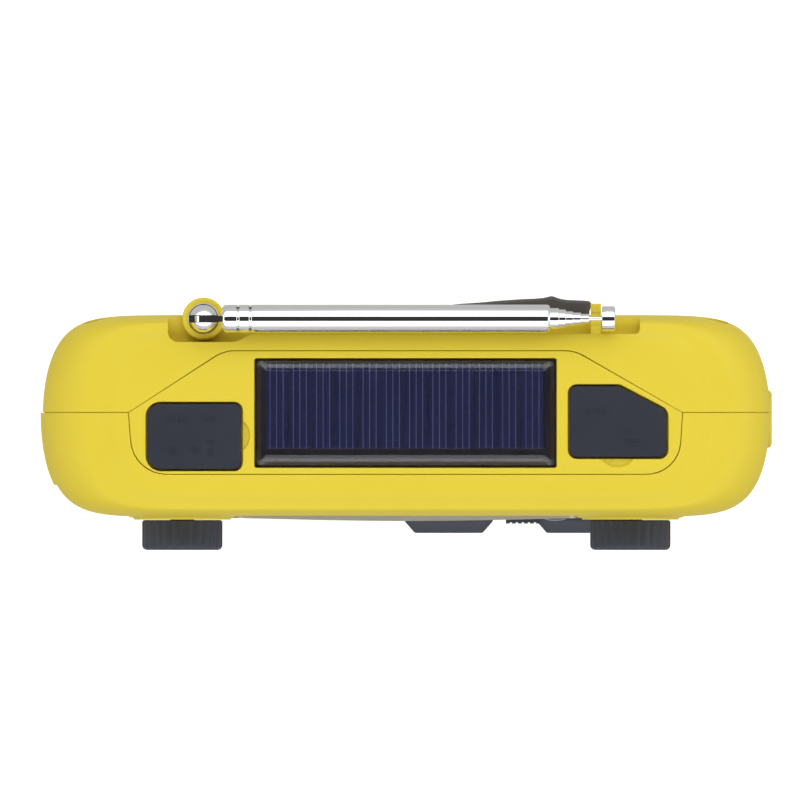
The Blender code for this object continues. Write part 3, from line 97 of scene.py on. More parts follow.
class Finish:
    """One material, with node() for every node apart from its Principled shader."""

    def __init__(self, name, colour, roughness, metallic=0.0, **constants):
        self.material = bpy.data.materials.new(name)
        self.material.use_nodes = True
        self.tree = self.material.node_tree
        self.shader = self.tree.nodes["Principled BSDF"]
        self.shader.inputs["Base Color"].default_value = (*colour, 1.0)
        self.shader.inputs["Roughness"].default_value = roughness
        self.shader.inputs["Metallic"].default_value = metallic
        for socket, value in constants.items():
            self.shader.inputs[socket.replace("_", " ")].default_value = value

    def node(self, kind, settings, sockets, output=0):
        """One node: its settings first, then each socket's value or Signal."""
        made = self.tree.nodes.new(kind)
        for key, value in settings.items():
            setattr(made, key, value)
        for key, value in sockets.items():
            if isinstance(value, Signal):
                self.tree.links.new(value.socket, made.inputs[key])
            else:
                made.inputs[key].default_value = value
        return Signal(self, made.outputs[output])

    def feed(self, socket, signal):
        self.tree.links.new(signal.socket, self.shader.inputs[socket])

    def place(self, axis):
        """Object coordinate along one axis, in millimetres."""
        spot = self.node("ShaderNodeTexCoord", {}, {}, "Object")
        return self.node("ShaderNodeSeparateXYZ", {}, {0: spot}, axis) * 1000.0

    def noise(self, size, detail=2.0, stretch=(1.0, 1.0, 1.0)):
        """Cloudy value whose features are about that many millimetres across."""
        spot = self.node("ShaderNodeTexCoord", {}, {}, "Object")
        spot = self.node("ShaderNodeMapping", {}, {"Vector": spot, "Scale": stretch})
        return self.node("ShaderNodeTexNoise", {}, {"Vector": spot, "Scale": 1000.0 / size, "Detail": detail})

    def mix(self, share, first, second):
        """Colour between two tones."""
        first = (*first, 1.0) if isinstance(first, tuple) else first
        second = (*second, 1.0) if isinstance(second, tuple) else second
        return self.node("ShaderNodeMix", {"data_type": "RGBA"}, {0: share, 6: first, 7: second}, 2)

    def bump(self, height, depth, strength=1.0):
        """Relief of that depth in millimetres."""
        relief = self.node("ShaderNodeBump", {}, {"Height": height, "Distance": depth * MM, "Strength": strength})
        self.feed("Normal", relief)


table_white = Finish("studio_floor", (0.86, 0.86, 0.86), 0.9, Emission_Strength=0.45)
table_white.shader.inputs["Emission Color"].default_value = (1.0, 1.0, 1.0, 1.0)
floor.data.materials.append(table_white.material)

world = bpy.data.worlds.new("soft_studio")
world.use_nodes = True
bpy.context.scene.world = world
sky = Finish.__new__(Finish)
sky.tree = world.node_tree
direction = sky.node("ShaderNodeTexCoord", {}, {}, "Generated")
sky_x, sky_y, sky_z = (sky.node("ShaderNodeSeparateXYZ", {}, {0: direction}, axis) for axis in "XYZ")


def ease(value, low, high, before, after):
    """Number that goes smoothly from before to after as the value passes from low to high."""
    return sky.node("ShaderNodeMapRange", {"interpolation_type": "SMOOTHSTEP"},
                    {"Value": value, "From Min": low, "From Max": high, "To Min": before, "To Max": after})


lean = abs(sky_y) / sky_z.top(0.01)
overhead = ease(lean, 0.29, 0.39, 0.02, 1.0).top(ease(abs(sky_x), 0.86, 0.95, 0.0, 1.0))
upper = ease(lean, 1.6, 2.3, 1.9, 0.62) + ease(sky_y, -0.6, 0.6, 0.03, 0.0) + 0.08 * sky_x
glow = ease(sky_z, -0.02, 0.02, 0.0, 1.0) * (overhead * upper - 0.55) + 0.55
background = world.node_tree.nodes["Background"]
background.inputs["Color"].default_value = (1.0, 1.0, 1.0, 1.0)
world.node_tree.links.new(glow.socket, background.inputs["Strength"])

soft_box = bpy.data.lights.new("soft_box", "AREA")
soft_box.shape = "RECTANGLE"
soft_box.size, soft_box.size_y, soft_box.energy, soft_box.specular_factor = 1.2, 0.8, 1.5, 0.0
soft_box_stand = bpy.data.objects.new("soft_box", soft_box)
soft_box_stand.location = (0.45, 0.95, 0.85)
soft_box_stand.rotation_euler = Vector((0.45, 0.95, 0.8)).to_track_quat("Z", "Y").to_euler()
bpy.context.scene.collection.objects.link(soft_box_stand)

camera = bpy.data.cameras.new("camera")
camera.type = "ORTHO"
camera.ortho_scale = 0.2
camera_stand = bpy.data.objects.new("camera", camera)
bpy.context.scene.collection.objects.link(camera_stand)
bpy.context.scene.camera = camera_stand
bpy.context.scene.view_settings.view_transform = "Standard"

# ----------------------------------------
# Case: two halves moulded in satin yellow plastic, screwed together from behind. They meet at a
# line just behind the middle, and the whole form is one flattened tube with softly rounded rims.

half_width, half_depth, case_top, foot_gap = 90.9, 25.25, 76.0, 1.5
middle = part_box("front_shell")[0][1] / MM + half_depth + 0.65
view_x, view_y, camera_height = -1.575, 4.0, 1.0
camera_stand.location = (view_x * MM, (view_y + middle) * MM, camera_height)
front_face, rear_face = middle - half_depth, middle + half_depth
parting = middle + 0.9
seam = 0.16
seam_width, seam_depth = 0.2, 0.4


def oval(width, depth, columns=320):
    """Plan outline |x / width|^16 + (y / depth)^2 = 1, its points spread evenly along its length."""
    across = np.linspace(0, 0.93, 600)
    rise = np.sqrt(1 - across**16)
    drop = np.linspace(rise[-1], 0, 600)[1:]
    x = np.concatenate([across, (1 - drop**2) ** (1 / 16)]) * width
    y = np.concatenate([rise, drop]) * depth
    quarter = np.stack([x, y], 1)[::-1]
    half = np.concatenate([quarter, quarter[::-1][1:] * (-1, 1)])
    ring = np.concatenate([half, half[::-1][1:] * (1, -1)])
    length = np.concatenate([[0], np.cumsum(np.linalg.norm(np.diff(ring, axis=0), axis=1))])
    even = np.linspace(0, length[-1], columns, endpoint=False)
    return np.stack([np.interp(even, length, ring[:, 0]), np.interp(even, length, ring[:, 1]) + middle], 1)


def skin(name, rows, poles=False):
    """Rings of equal count joined by quads, the last point of each to its first, and both ends closed."""
    rows = np.asarray(rows, float)
    count, columns = rows.shape[:2]
    index = np.arange(count * columns).reshape(count, columns)
    turned = np.roll(index, -1, axis=1)
    quads = np.stack([index[:-1], turned[:-1], turned[1:], index[1:]], -1).reshape(-1, 4).tolist()
    if not poles:
        quads += [index[0][::-1].tolist(), index[-1].tolist()]
    return solid(name, rows.reshape(-1, 3), quads)


def along(outline, axis, place):
    """An outline across an axis, at one place along it: X takes (y, z), Y takes (x, z), Z takes (x, y)."""
    outline = np.asarray(outline, float)
    place = np.broadcast_to(np.asarray(place, float), (len(outline),))
    u, v = outline[:, 0], outline[:, 1]
    order = {"X": (place, u, v), "Y": (u, place, v), "Z": (u, v, place)}[axis]
    return np.stack(order, 1)


def prism(name, outline, axis, low, high):
    """An outline carried straight along an axis."""
    return skin(name, [along(outline, axis, low), along(outline, axis, high)])


def box(low, high):
    """Straight block between two corners."""
    plan = [(low[0], low[1]), (high[0], low[1]), (high[0], high[1]), (low[0], high[1])]
    return prism("block", plan, "Z", low[2], high[2])


def circle(radius, centre=(0.0, 0.0), columns=64):
    """Round outline."""
    turn = np.linspace(0, 2 * np.pi, columns, endpoint=False)
    return np.stack([centre[0] + radius * np.cos(turn), centre[1] + radius * np.sin(turn)], 1)


def drill(hole, *way):
    """Straight round cutter; the hole is a circle's radius, centre and columns."""
    return prism("cutter", circle(*hole), *way)


def lathe(name, profile, axis, centre, columns=64, ring=False):
    """Profile of (radius, place) spun round an axis; a ring's last point joins its first."""
    profile = list(profile) + ([profile[0]] if ring else [])
    rows = [along(circle(radius, centre, columns), axis, place) for radius, place in profile]
    return skin(name, rows, poles=True)


def rounded(corners, steps=8):
    """Polygon whose corners (u, v, radius) become tangent arcs."""
    points = []
    for index, (u, v, radius) in enumerate(corners):
        here = np.array((u, v), float)
        before = np.array(corners[index - 1][:2]) - here
        after = np.array(corners[(index + 1) % len(corners)][:2]) - here
        before, after = before / np.linalg.norm(before), after / np.linalg.norm(after)
        half = math.acos(np.clip(before @ after, -1, 1)) / 2
        middle_line = (before + after) / np.linalg.norm(before + after)
        centre = here + middle_line * radius / math.sin(half)
        start = here + before * radius / math.tan(half) - centre
        end = here + after * radius / math.tan(half) - centre
        sweep = math.atan2(start[0] * end[1] - start[1] * end[0], start @ end)
        turn = np.linspace(0, sweep, steps + 1)[:, None]
        points.append(centre + start * np.cos(turn) + np.array((-start[1], start[0])) * np.sin(turn))
    return np.concatenate(points)


def rectangle(low_u, high_u, low_v, high_v, radius, steps=8):
    """Rectangle with four equal round corners."""
    return rounded([(high_u, high_v, radius), (low_u, high_v, radius), (low_u, low_v, radius),
                    (high_u, low_v, radius)], steps)


def soft_prism(name, outline_at, axis, low, high, edge, both=False, steps=4):
    """A prism whose outline draws in over its last stretch, so that the rim is a quarter round."""
    turn = np.linspace(0, np.pi / 2, steps + 1)
    way = 1 if high > low else -1
    rims = [(edge * (1 - math.cos(t)), high - way * edge * (1 - math.sin(t))) for t in turn]
    start = [(shrink, low + high - place) for shrink, place in reversed(rims)] if both else [(0.0, low)]
    return skin(name, [along(outline_at(-shrink), axis, place) for shrink, place in start + rims])


def flared(outline_at, axis, deep, face, flare, beyond=3.0, steps=4):
    """A cutter that opens in a quarter round at the face, so that the edge it leaves is soft."""
    way = 1 if face > deep else -1
    turn = np.linspace(0, np.pi / 2, steps + 1)
    rows = [(0.0, deep)] + [(flare * (1 - math.cos(t)), face - way * flare * (1 - math.sin(t))) for t in turn]
    rows.append((flare, face + way * beyond))
    return skin("cutter", [along(outline_at(grow), axis, place) for grow, place in rows])


def carve(piece, operation, *tools):
    """One exact Boolean with a group of tools, which are then thrown away."""
    group = bpy.data.collections.new("tools")
    for tool in tools:
        group.objects.link(tool)
    step = piece.modifiers.new("carve", "BOOLEAN")
    step.operation, step.solver, step.operand_type, step.collection = operation, "EXACT", "COLLECTION", group
    bpy.context.view_layer.update()
    shaped = bpy.data.meshes.new_from_object(piece.evaluated_get(bpy.context.evaluated_depsgraph_get()))
    piece.modifiers.clear()
    old, piece.data = piece.data, shaped
    bpy.data.meshes.remove(old)
    for tool in tools:
        bpy.data.objects.remove(tool)
    bpy.data.collections.remove(group)
    return piece


def fit(piece, finish, body, nodes, sharp=32):
    """Shade, paint and mount a finished piece in place of its CAD nodes."""
    piece.data.shade_smooth()
    piece.data.set_sharp_from_angle(angle=math.radians(sharp))
    piece.data.materials.clear()
    piece.data.materials.append(finish.material)
    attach(piece, body)
    if nodes:
        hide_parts(*nodes)
    return piece


def moulded(name, tone, other, roughness, grain=0.35, relief=0.012, **constants):
    """Moulded plastic: two close tones in slow clouds, a fine spark-eroded grain, and uneven gloss."""
    finish = Finish(name, tone, roughness, **constants)
    clouds = finish.noise(26.0, 3.0)
    finish.feed("Base Color", finish.mix(clouds, tone, other))
    fine = finish.noise(grain, 3.0)
    rubbed = finish.noise(7.0, 4.0)
    finish.feed("Roughness", roughness - 0.05 + 0.07 * fine + 0.06 * rubbed)
    finish.bump(fine, relief)
    return finish


yellow = moulded("yellow_plastic", (0.655, 0.515, 0.030), (0.685, 0.54, 0.037), 0.5, Specular_IOR_Level=0.3)

rim = [(20.9, 8.25, 0.0), (18.8, 6.2, -0.05), (17.4, 5.0, -0.22), (16.2, 4.2, -0.55), (15.2, 3.6, -0.84),
       (14.3, 3.0, -0.95), (13.2, 2.4, -1.0)]
rim += [(12.4 * (1 - math.sin(t)), 2.05 * (1 - math.sin(t)), -1.15 - 16 * (1 - math.cos(t)))
        for t in np.radians(np.linspace(0, 90, 15))]
base = [(10.9 * (1 - math.sin(t)), 4.25 * (1 - math.sin(t)), 10 * (1 - math.cos(t)))
        for t in np.radians(np.linspace(90, 0, 9))]


def case_body(name):
    """The whole outer form: plan ovals drawn in along the rim and base curves, with a flat top."""
    rows = [(width, depth, case_top + z) for width, depth, z in rim]
    rows += [(0.0, 0.0, z) for z in np.linspace(case_top - 17.15, foot_gap + 10, 10)[1:-1]]
    rows += [(width, depth, foot_gap + z) for width, depth, z in base]
    rings = [along(oval(half_width - 26, half_depth - 13), "Z", case_top)]
    rings += [along(oval(half_width - width, half_depth - depth), "Z", z) for width, depth, z in rows]
    return skin(name, rings)


def case_space():
    """The hollow inside, one wall in from the outer form."""
    rows = ((12.9, 6.2, 3.7), (2.2, 2.4, 9.7), (2.2, 2.2, 12.7), (2.2, 2.2, 59.5), (6.7, 3.3, 67.5),
            (16.9, 5.5, 71.0))
    return skin("space", [along(oval(half_width - w, half_depth - d, 96), "Z", z) for w, d, z in rows])


def seam_groove():
    """Shallow groove along the parting: the case's own section, and the same drawn in by the depth."""
    side = np.array([(half_width - width, case_top + z) for width, _,
                     z in rim] + [(half_width - width, foot_gap + z) for width, _, z in base])
    outline = np.concatenate([side, side[::-1] * (-1, 1)])
    along_it = np.roll(outline, -1, 0) - np.roll(outline, 1, 0)
    outward = np.stack([-along_it[:, 1], along_it[:, 0]], 1) / np.linalg.norm(along_it, axis=1)[:, None]
    low, high = parting - seam_width / 2, parting + seam_width / 2
    rows = [along(outline + outward * grow, "Y", y) for grow,
            y in ((0.4, low), (0.4, high), (-seam_depth, high), (-seam_depth, low), (0.4, low))]
    return skin("groove", rows, poles=True)


def panel_at(grow):
    """Outline of the top panel: straight rear edge, long diagonals, round front corners."""
    y = middle
    corners = [(42.0 + grow, y + 16.25 + grow, 9.0), (-45.5 - grow, y + 16.25 + grow, 9.0),
               (-69.4 - grow, y + 0.85, 0.05), (-68.2 - grow, y - 14.5 - grow, 9.0),
               (68.0 + grow, y - 14.5 - grow, 8.5), (69.0 + grow, y + 0.85, 0.05)]
    return rounded(corners)


def left_port_at(grow):
    """Outline of the left port opening."""
    y = middle
    return rounded([(-41.15 + grow, y + 3.25 + grow, 1.9 + grow), (-64.9 - grow, y + 3.25 + grow, 3.4 + grow),
                    (-64.9 - grow, y - 13.5 - grow, 3.6 + grow), (-41.15 + grow, y - 13.5 - grow, 1.9 + grow)])


def right_port_at(grow):
    """Outline of the right port opening, with one corner cut along the panel's diagonal."""
    y = middle
    return rounded([(65.25 + grow, y - 10.45 - grow, 2.0 + grow), (65.25 + grow, y + 1.45 + grow / 2, 2.6 + grow),
                    (53.25 + grow / 2, y + 7.65 + grow, 2.2 + grow), (40.65 - grow, y + 7.65 + grow, 2.0 + grow),
                    (40.65 - grow, y - 10.45 - grow, 2.0 + grow)])


solar_low = (-38.0, middle - 12.95)
solar_high = (37.6, middle + 14.45)


def solar_at(grow):
    """Outline of the solar opening."""
    return rectangle(solar_low[0] - grow, solar_high[0] + grow, solar_low[1] - grow, solar_high[1] + grow,
                     0.6 + max(grow, 0))


lamp_y, lamp_z = middle - 0.75, 45.0
foot_places = [(x, y) for x in (-61.9, 61.9) for y in (front_face + 12.0, rear_face - 11.0)]
screw_places = [(-77.4, 63.0), (77.4, 63.0), (-81.9, 15.0), (81.9, 15.0)]


def shared_cuts():
    """Cutters that both halves need."""
    lamp = (lamp_y, lamp_z)
    top_wall = ("Z", case_top - 12, case_top - 2.8)
    cuts = [
        case_space(),
        flared(lambda g: panel_at(seam + g), "Z", case_top - 2.9, case_top, 0.15),
        prism("cutter", solar_at(1.3), *top_wall),
        prism("cutter", left_port_at(1.6), *top_wall),
        prism("cutter", right_port_at(1.6), *top_wall),
        drill((6.6, lamp), "X", half_width - 9, half_width + 5),
        flared(lambda g: circle(7.5 + g, lamp), "X", half_width - 1.3, half_width, 0.2),
        seam_groove(),
    ]
    cuts += [drill((5.3, spot), "Z", -2, foot_gap + 0.8) for spot in foot_places]
    return cuts


knob_x, knob_z = 56.0, 46.0
button_xs, button_z = (10.6, 43.6), 19.0
switch_z = 33.5
speaker_x, speaker_z, slot_pitch = -20.0, 42.0, 4.4
signal_place = (37.2, 62.5)


def fascia_at(grow):
    """Outline of the front plate: a broad band below, a narrower field between the knobs."""
    upper, lower, shoulder, low, high = 42.5 + grow, 64.0 + grow, 32.0 + grow, 8.0 - grow, 67.0 + grow
    return rounded([(upper, high, 3.0), (-upper, high, 3.0), (-upper, shoulder, 2.0), (-lower, shoulder, 4.0),
                    (-lower, low, 5.0), (lower, low, 5.0), (lower, shoulder, 4.0), (upper, shoulder, 2.0)])


def button_at(x, grow):
    """Outline of a push button."""
    return rectangle(x - 11.05 - grow, x + 11.05 + grow, button_z - 5 - grow, button_z + 5 + grow, 2.2 + grow)


def kept_inside(pieces):
    """The pieces joined in one, and cut off at the case's outer form."""
    first, *others = pieces
    return carve(carve(first, "UNION", *others), "INTERSECT", case_body("trim"))


front = case_body("case_front")
pad_rows = [(-0.6, 26.5), (-0.1, 27.2), (0.35, 28.0), (0.5, 29.0), (0.5, 58.5), (0.35, 59.5), (-0.1, 60.3),
            (-0.6, 61.0)]
pad = skin("pad", [along(oval(half_width + grow, half_depth + grow), "Z", z) for grow, z in pad_rows])
carve(pad, "INTERSECT", box((-200, front_face + 8, 0), (-half_width + 6, parting, 100)))
bosses = []
for side in (-1, 1):
    curve = [(0, front_face + 1), (13.6, front_face + 1), (13.4, front_face + 0.1), (12.9, front_face - 0.1)]
    curve += [(12.3 - 0.5 * (1 - math.cos(t)), front_face - 0.15 - 0.5 * math.sin(t))
              for t in np.radians((0, 30, 60, 90))]
    bosses.append(lathe("boss", curve + [(0, front_face - 0.65)], "Y", (side * knob_x, knob_z), 96))
posts = [prism("post", circle(3.6, spot, 24), "Y", front_face + 4, parting - 0.3) for spot in screw_places]
carve(front, "UNION", pad, *bosses)
cuts = shared_cuts()
cuts.append(box((-200, parting, -50), (200, parting + 200, 200)))
front_wall = ("Y", front_face - 5, front_face + 7.2)
cuts.append(flared(lambda g: fascia_at(0.25 + g), "Y", front_face + 0.9, front_face, 0.2))
cuts.append(drill((16.5, (speaker_x, speaker_z), 96), *front_wall))
cuts.append(prism("cutter", rectangle(4.0, 31.0, 41.0, 59.0, 1.5), *front_wall))
cuts += [prism("cutter", button_at(x, 0.3), *front_wall) for x in button_xs]
cuts += [drill((3.3, (x, knob_z)), *front_wall) for x in (-knob_x, knob_x)]
cuts.append(prism("cutter", rectangle(20.6, 37.7, switch_z - 1.4, switch_z + 1.4, 0.8), *front_wall))
carve(front, "DIFFERENCE", *cuts)
carve(front, "UNION", kept_inside(posts))
carve(front, "DIFFERENCE", *[drill((1.45, spot, 24), "Y", rear_face - 31, parting + 5) for spot in screw_places])
fit(front, yellow, "case", ["front_shell"])

crank_x, crank_z, dish_radius = 13.0, 36.0, 33.6
channel_low, channel_high = -59.6, 58.4


def channel_plan():
    """Plan of the antenna channel: pocket at the pivot, a soft S, then a straight wall with a round end."""
    pocket, wall, back = rear_face - 6.75, rear_face - 4.75, rear_face + 20
    turn = np.radians(np.linspace(180, 270, 9))
    points = [(channel_low, back)]
    points += [(channel_low + 2.5 + 2.5 * math.cos(t), pocket + 2.5 + 2.5 * math.sin(t)) for t in turn]
    points += [(-43.6 + 5.8 * s, pocket + (wall - pocket) * (1 - math.cos(math.pi * s)) / 2)
               for s in np.linspace(0, 1, 13)]
    points += [(channel_high - 1.25 + 1.25 * math.cos(t), wall + 1.25 + 1.25 * math.sin(t))
               for t in turn + np.pi / 2]
    return np.array(points + [(channel_high, back)])


rear = case_body("case_rear")
bay_edges = (-75.8, -23.9, 11.0, 56.1)
floor_z = case_top - 5.0
trough = box((channel_low - 2.2, rear_face - 8.9, floor_z - 2.2),
             (channel_high + 2.2, rear_face - 1.1, floor_z + 0.6))
backing = prism("backing", circle(34.8, (crank_x, crank_z), 128), "Y", rear_face - 5.25, rear_face - 0.6)
wells = [prism("well", circle(4.4, spot, 48), "Y", parting + 0.3, rear_face + 3) for spot in screw_places]
cuts = shared_cuts()
cuts.append(box((-200, parting - 200, -50), (200, parting, 200)))
carve(rear, "DIFFERENCE", *cuts)
carve(rear, "UNION", trough, kept_inside([backing, *wells]))
cuts = [prism("cutter", channel_plan(), "Z", floor_z, case_top + 20)]
cuts += [flared(lambda g, s=spot: circle(3.2 + g, s, 48), "Y", rear_face - 8.5, rear_face - 0.6, 0.3, 8)
         for spot in screw_places]
cuts += [drill((1.6, spot, 24), "Y", parting - 12, rear_face) for spot in screw_places]
cuts.append(flared(lambda g: circle(dish_radius + g, (crank_x, crank_z), 160), "Y", rear_face - 3.05, rear_face,
                   0.35))
cuts.append(drill((4.35, (crank_x, crank_z)), "Y", rear_face - 12, rear_face))
cuts.append(prism("cutter", rectangle(*bay_edges, 1.0), "Y", rear_face - 6, rear_face + 10))
carve(rear, "DIFFERENCE", *cuts)
antenna_x, antenna_y = -50.7, rear_face - 0.95
lug_top = case_top - 2.0
curve = [(0, lug_top - 14.5), (2.4, lug_top - 14), (4.6, lug_top - 9.6), (5.3, lug_top - 8), (5.3, lug_top - 0.8)]
curve += [(5.3 - 0.8 * (1 - math.cos(t)), lug_top - 0.8 * (1 - math.sin(t))) for t in np.radians((20, 45, 70, 90))]
lug = lathe("lug", curve + [(0, lug_top)], "Z", (antenna_x, antenna_y))
rest_side = rounded([(rear_face - 6.0, case_top - 6.5, 0.1), (rear_face - 0.2, case_top - 10.5, 2.0),
                     (rear_face + 2.85, case_top - 5.0, 1.0), (rear_face + 2.85, case_top + 0.2, 0.5),
                     (rear_face + 0.8, case_top + 0.2, 0.5), (rear_face - 0.2, case_top - 1.2, 0.5),
                     (rear_face - 1.7, case_top - 1.2, 0.4), (rear_face - 2.7, case_top - 0.35, 0.4),
                     (rear_face - 6.0, case_top - 0.35, 0.1)], 5)
rest = prism("rest", rest_side, "X", 46.1, 48.65)
carve(rear, "UNION", lug, rest)
carve(rear, "DIFFERENCE", drill((2.1, (antenna_x, antenna_y), 32), "Z", lug_top - 12, lug_top + 5))
fit(rear, yellow, "case", ["rear_shell"])

# ----------------------------------------
# Top panel: a separate yellow inlay, glued in flush, with the solar tray and both port wells
# moulded under it and a shallow thumb scoop beside each port.

plate_low = case_top - 2.6
plate = soft_prism("top_plate", panel_at, "Z", plate_low, case_top, 0.15)
ledge_low = case_top - 3.8
under = [prism("tray", solar_at(1.0), "Z", case_top - 6.3, plate_low + 0.4)]
for port_at in (left_port_at, right_port_at):
    ledge = prism("ledge", port_at(1.25), "Z", ledge_low, plate_low + 0.4)
    carve(ledge, "INTERSECT", prism("trim", panel_at(-0.15), "Z", case_top - 9, case_top + 2))
    under += [ledge, prism("well", port_at(-0.5), "Z", case_top - 10.5, ledge_low + 0.4)]
carve(plate, "UNION", *under)
cuts = [flared(solar_at, "Z", case_top - 5.3, case_top, 0.3)]
for port_at in (left_port_at, right_port_at):
    cuts.append(flared(lambda g, at=port_at: at(0.28 + g), "Z", plate_low, case_top, 0.35))
    cuts.append(prism("cutter", port_at(-1.5), "Z", case_top - 9.5, case_top + 2))
for centre, radius, depth in (((-43.9, middle - 4.9), 4.8, 1.2), ((52.8, middle - 7.7), 5.05, 1.2)):
    curve = [(0, case_top - depth), (radius - 1.0, case_top - depth + 0.05),
             (radius - 0.35, case_top - depth + 0.3),
             (radius - 0.1, case_top - 0.5), (radius, case_top - 0.15)]
    cuts.append(lathe("scoop", curve + [(radius + 0.15, case_top + 0.01), (radius + 0.15, case_top + 2),
                                        (0, case_top + 2)], "Z", centre, 96))
carve(plate, "DIFFERENCE", *cuts)
charge_box = (-59.5, -50.5, middle - 8.0, middle - 2.6)
usb_box = (46.2, 61.0, middle - 5.6, middle + 2.2)
phone_place = (-46.5, middle - 5.2)


def boxed(edges, grow, radius, steps=8):
    """Rectangle within four edges, grown on every side."""
    return rectangle(edges[0] - grow, edges[1] + grow, edges[2] - grow, edges[3] + grow, radius, steps)


well_floor = ("Z", case_top - 20, case_top - 6)
holes = [prism("cutter", boxed(charge_box, 0.3, 1.0), *well_floor),
         prism("cutter", boxed(usb_box, 0.3, 0.6), *well_floor),
         drill((3.5, phone_place), *well_floor),
         drill((1.5, (-34.0, middle), 24), "Z", case_top - 20, case_top - 4)]
carve(plate, "DIFFERENCE", *holes)
fit(plate, yellow, "case", ["top_panel"])

# ----------------------------------------
# Solar unit: a clear acrylic block with a wide bevel all round, over a dark board that carries
# twelve narrow silicon cells, each with three printed silver fingers.

window_low, window_high = (solar_low[0] + 0.65, solar_low[1] + 0.65), (solar_high[0] - 0.65, solar_high[1] - 0.65)


def window_at(draw):
    """Outline of the window, drawn in from its sides."""
    return rectangle(window_low[0] + draw, window_high[0] - draw, window_low[1] + draw, window_high[1] - draw, 0.5,
                     4)


def clouded(name, pattern, tone, other, gloss, swing, relief, metallic=0.0, **constants):
    """One cloudy pattern behind the tone, the gloss (gloss + swing * pattern) and the relief."""
    finish = Finish(name, tone, gloss, metallic, **constants)
    cloud = finish.noise(*pattern)
    finish.feed("Base Color", finish.mix(cloud, tone, other))
    finish.feed("Roughness", gloss + swing * cloud)
    finish.bump(cloud, relief)
    return finish


levels = [(0.15, 3.0), (0.0, 2.85), (0.0, 1.9), (0.08, 1.75), (0.85, 1.05), (0.95, 0.98), (2.35, 0.2), (2.55, 0.15)]
window = skin("solar_window_block", [along(window_at(draw), "Z", case_top - z) for draw, z in levels])
acrylic = clouded("clear_acrylic", (9.0, 4.0), (0.92, 0.94, 1.0), (0.94, 0.96, 1.0), 0.015, 0.03, 0.003,
                  Transmission_Weight=1.0, IOR=1.46)
fit(window, acrylic, "case", ["solar_window"], 5)

board_finish = clouded("cell_board", (1.2, 2.0), (0.014, 0.009, 0.016), (0.024, 0.016, 0.026), 0.3, 0.15, 0.02)

cell_count, cell_left, cell_pitch = 12, -35.34, 5.815
cell_low, cell_high = middle - 8.1, middle + 12.7
wafer_points, wafer_faces = [], []
wafer = np.array(rectangle(0.12, cell_pitch - 0.12, cell_low, cell_high, 0.15, 2))
for number in range(cell_count):
    shift = np.array((cell_left + number * cell_pitch, 0.0))
    start = len(wafer_points)
    for z, draw in ((case_top - 3.34, 0.0), (case_top - 3.12, 0.0), (case_top - 3.08, 0.04)):
        centre = wafer.mean(0)
        spots = centre + (wafer - centre) * (1 - draw / 2.7) + shift
        spots[:, 0] = np.clip(spots[:, 0], -34.75, 34.2)
        wafer_points += along(spots, "Z", z).tolist()
    n = len(wafer)
    for row in range(2):
        wafer_faces += [[start + row * n + i, start + row * n + (i + 1) % n, start + (row + 1) * n + (i + 1) % n,
                         start + (row + 1) * n + i] for i in range(n)]
    wafer_faces += [[start + i for i in reversed(range(n))], [start + 2 * n + i for i in range(n)]]
cells = solid("solar_cells", wafer_points, wafer_faces)
silicon = Finish("silicon_cells", (0.02, 0.022, 0.06), 0.22, Specular_IOR_Level=0.4)
across = (silicon.place("X") - cell_left) / cell_pitch
spread = abs(across.fraction() - 0.5) * cell_pitch
finger = (spread < 0.1).top((abs(spread - 1.63) < 0.1))
tint = silicon.noise(4.0, 3.0, (1.0, 0.25, 1.0))
wafer_tone = silicon.mix(tint, (0.023, 0.027, 0.088), (0.034, 0.036, 0.108))
silicon.feed("Base Color", silicon.mix(finger, wafer_tone, (0.13, 0.135, 0.25)))
silicon.feed("Roughness", 0.1 + 0.2 * finger + 0.05 * tint)
silicon.bump(finger, 0.02)
fit(cells, silicon, "case", [])


def dress(names, finish):
    """Give kept CAD nodes their finish."""
    for name in names:
        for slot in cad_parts[name].material_slots:
            slot.link = "OBJECT"
            slot.material = finish.material


dress(["solar_cell_board"], board_finish)

# ----------------------------------------
# Port covers: two soft rubber flaps in blue-grey, each hinged along one edge, with a rounded rim
# and a few low raised marks that show what lies below.

cover_top, cover_low = case_top - 0.1, case_top - 2.3
rubber = Finish("cover_rubber", (0.02, 0.022, 0.035), 0.6, Specular_IOR_Level=0.25)
bloom, pores = rubber.noise(12.0, 4.0), rubber.noise(0.25, 2.0)
rubber.feed("Base Color", rubber.mix(bloom, (0.018, 0.020, 0.032), (0.026, 0.028, 0.040)))
rubber.feed("Roughness", 0.52 + 0.12 * bloom + 0.06 * pores)
rubber.bump(pores, 0.015)


def raised(outline):
    """A low raised mark on a cover's face."""
    centre = outline.mean(0)
    rows = [(1.0, cover_top - 0.3), (1.0, cover_top + 0.12), (0.9, cover_top + 0.18)]
    return skin("mark", [along(centre + (outline - centre) * scale, "Z", z) for scale, z in rows])


def ring_mark(x, y, radius):
    """A small raised ring."""
    curve = [(radius, cover_top - 0.3), (radius, cover_top + 0.16), (radius - 0.35, cover_top + 0.16),
             (radius - 0.35, cover_top - 0.3)]
    return lathe("mark", curve, "Z", (x, y), 32, ring=True)


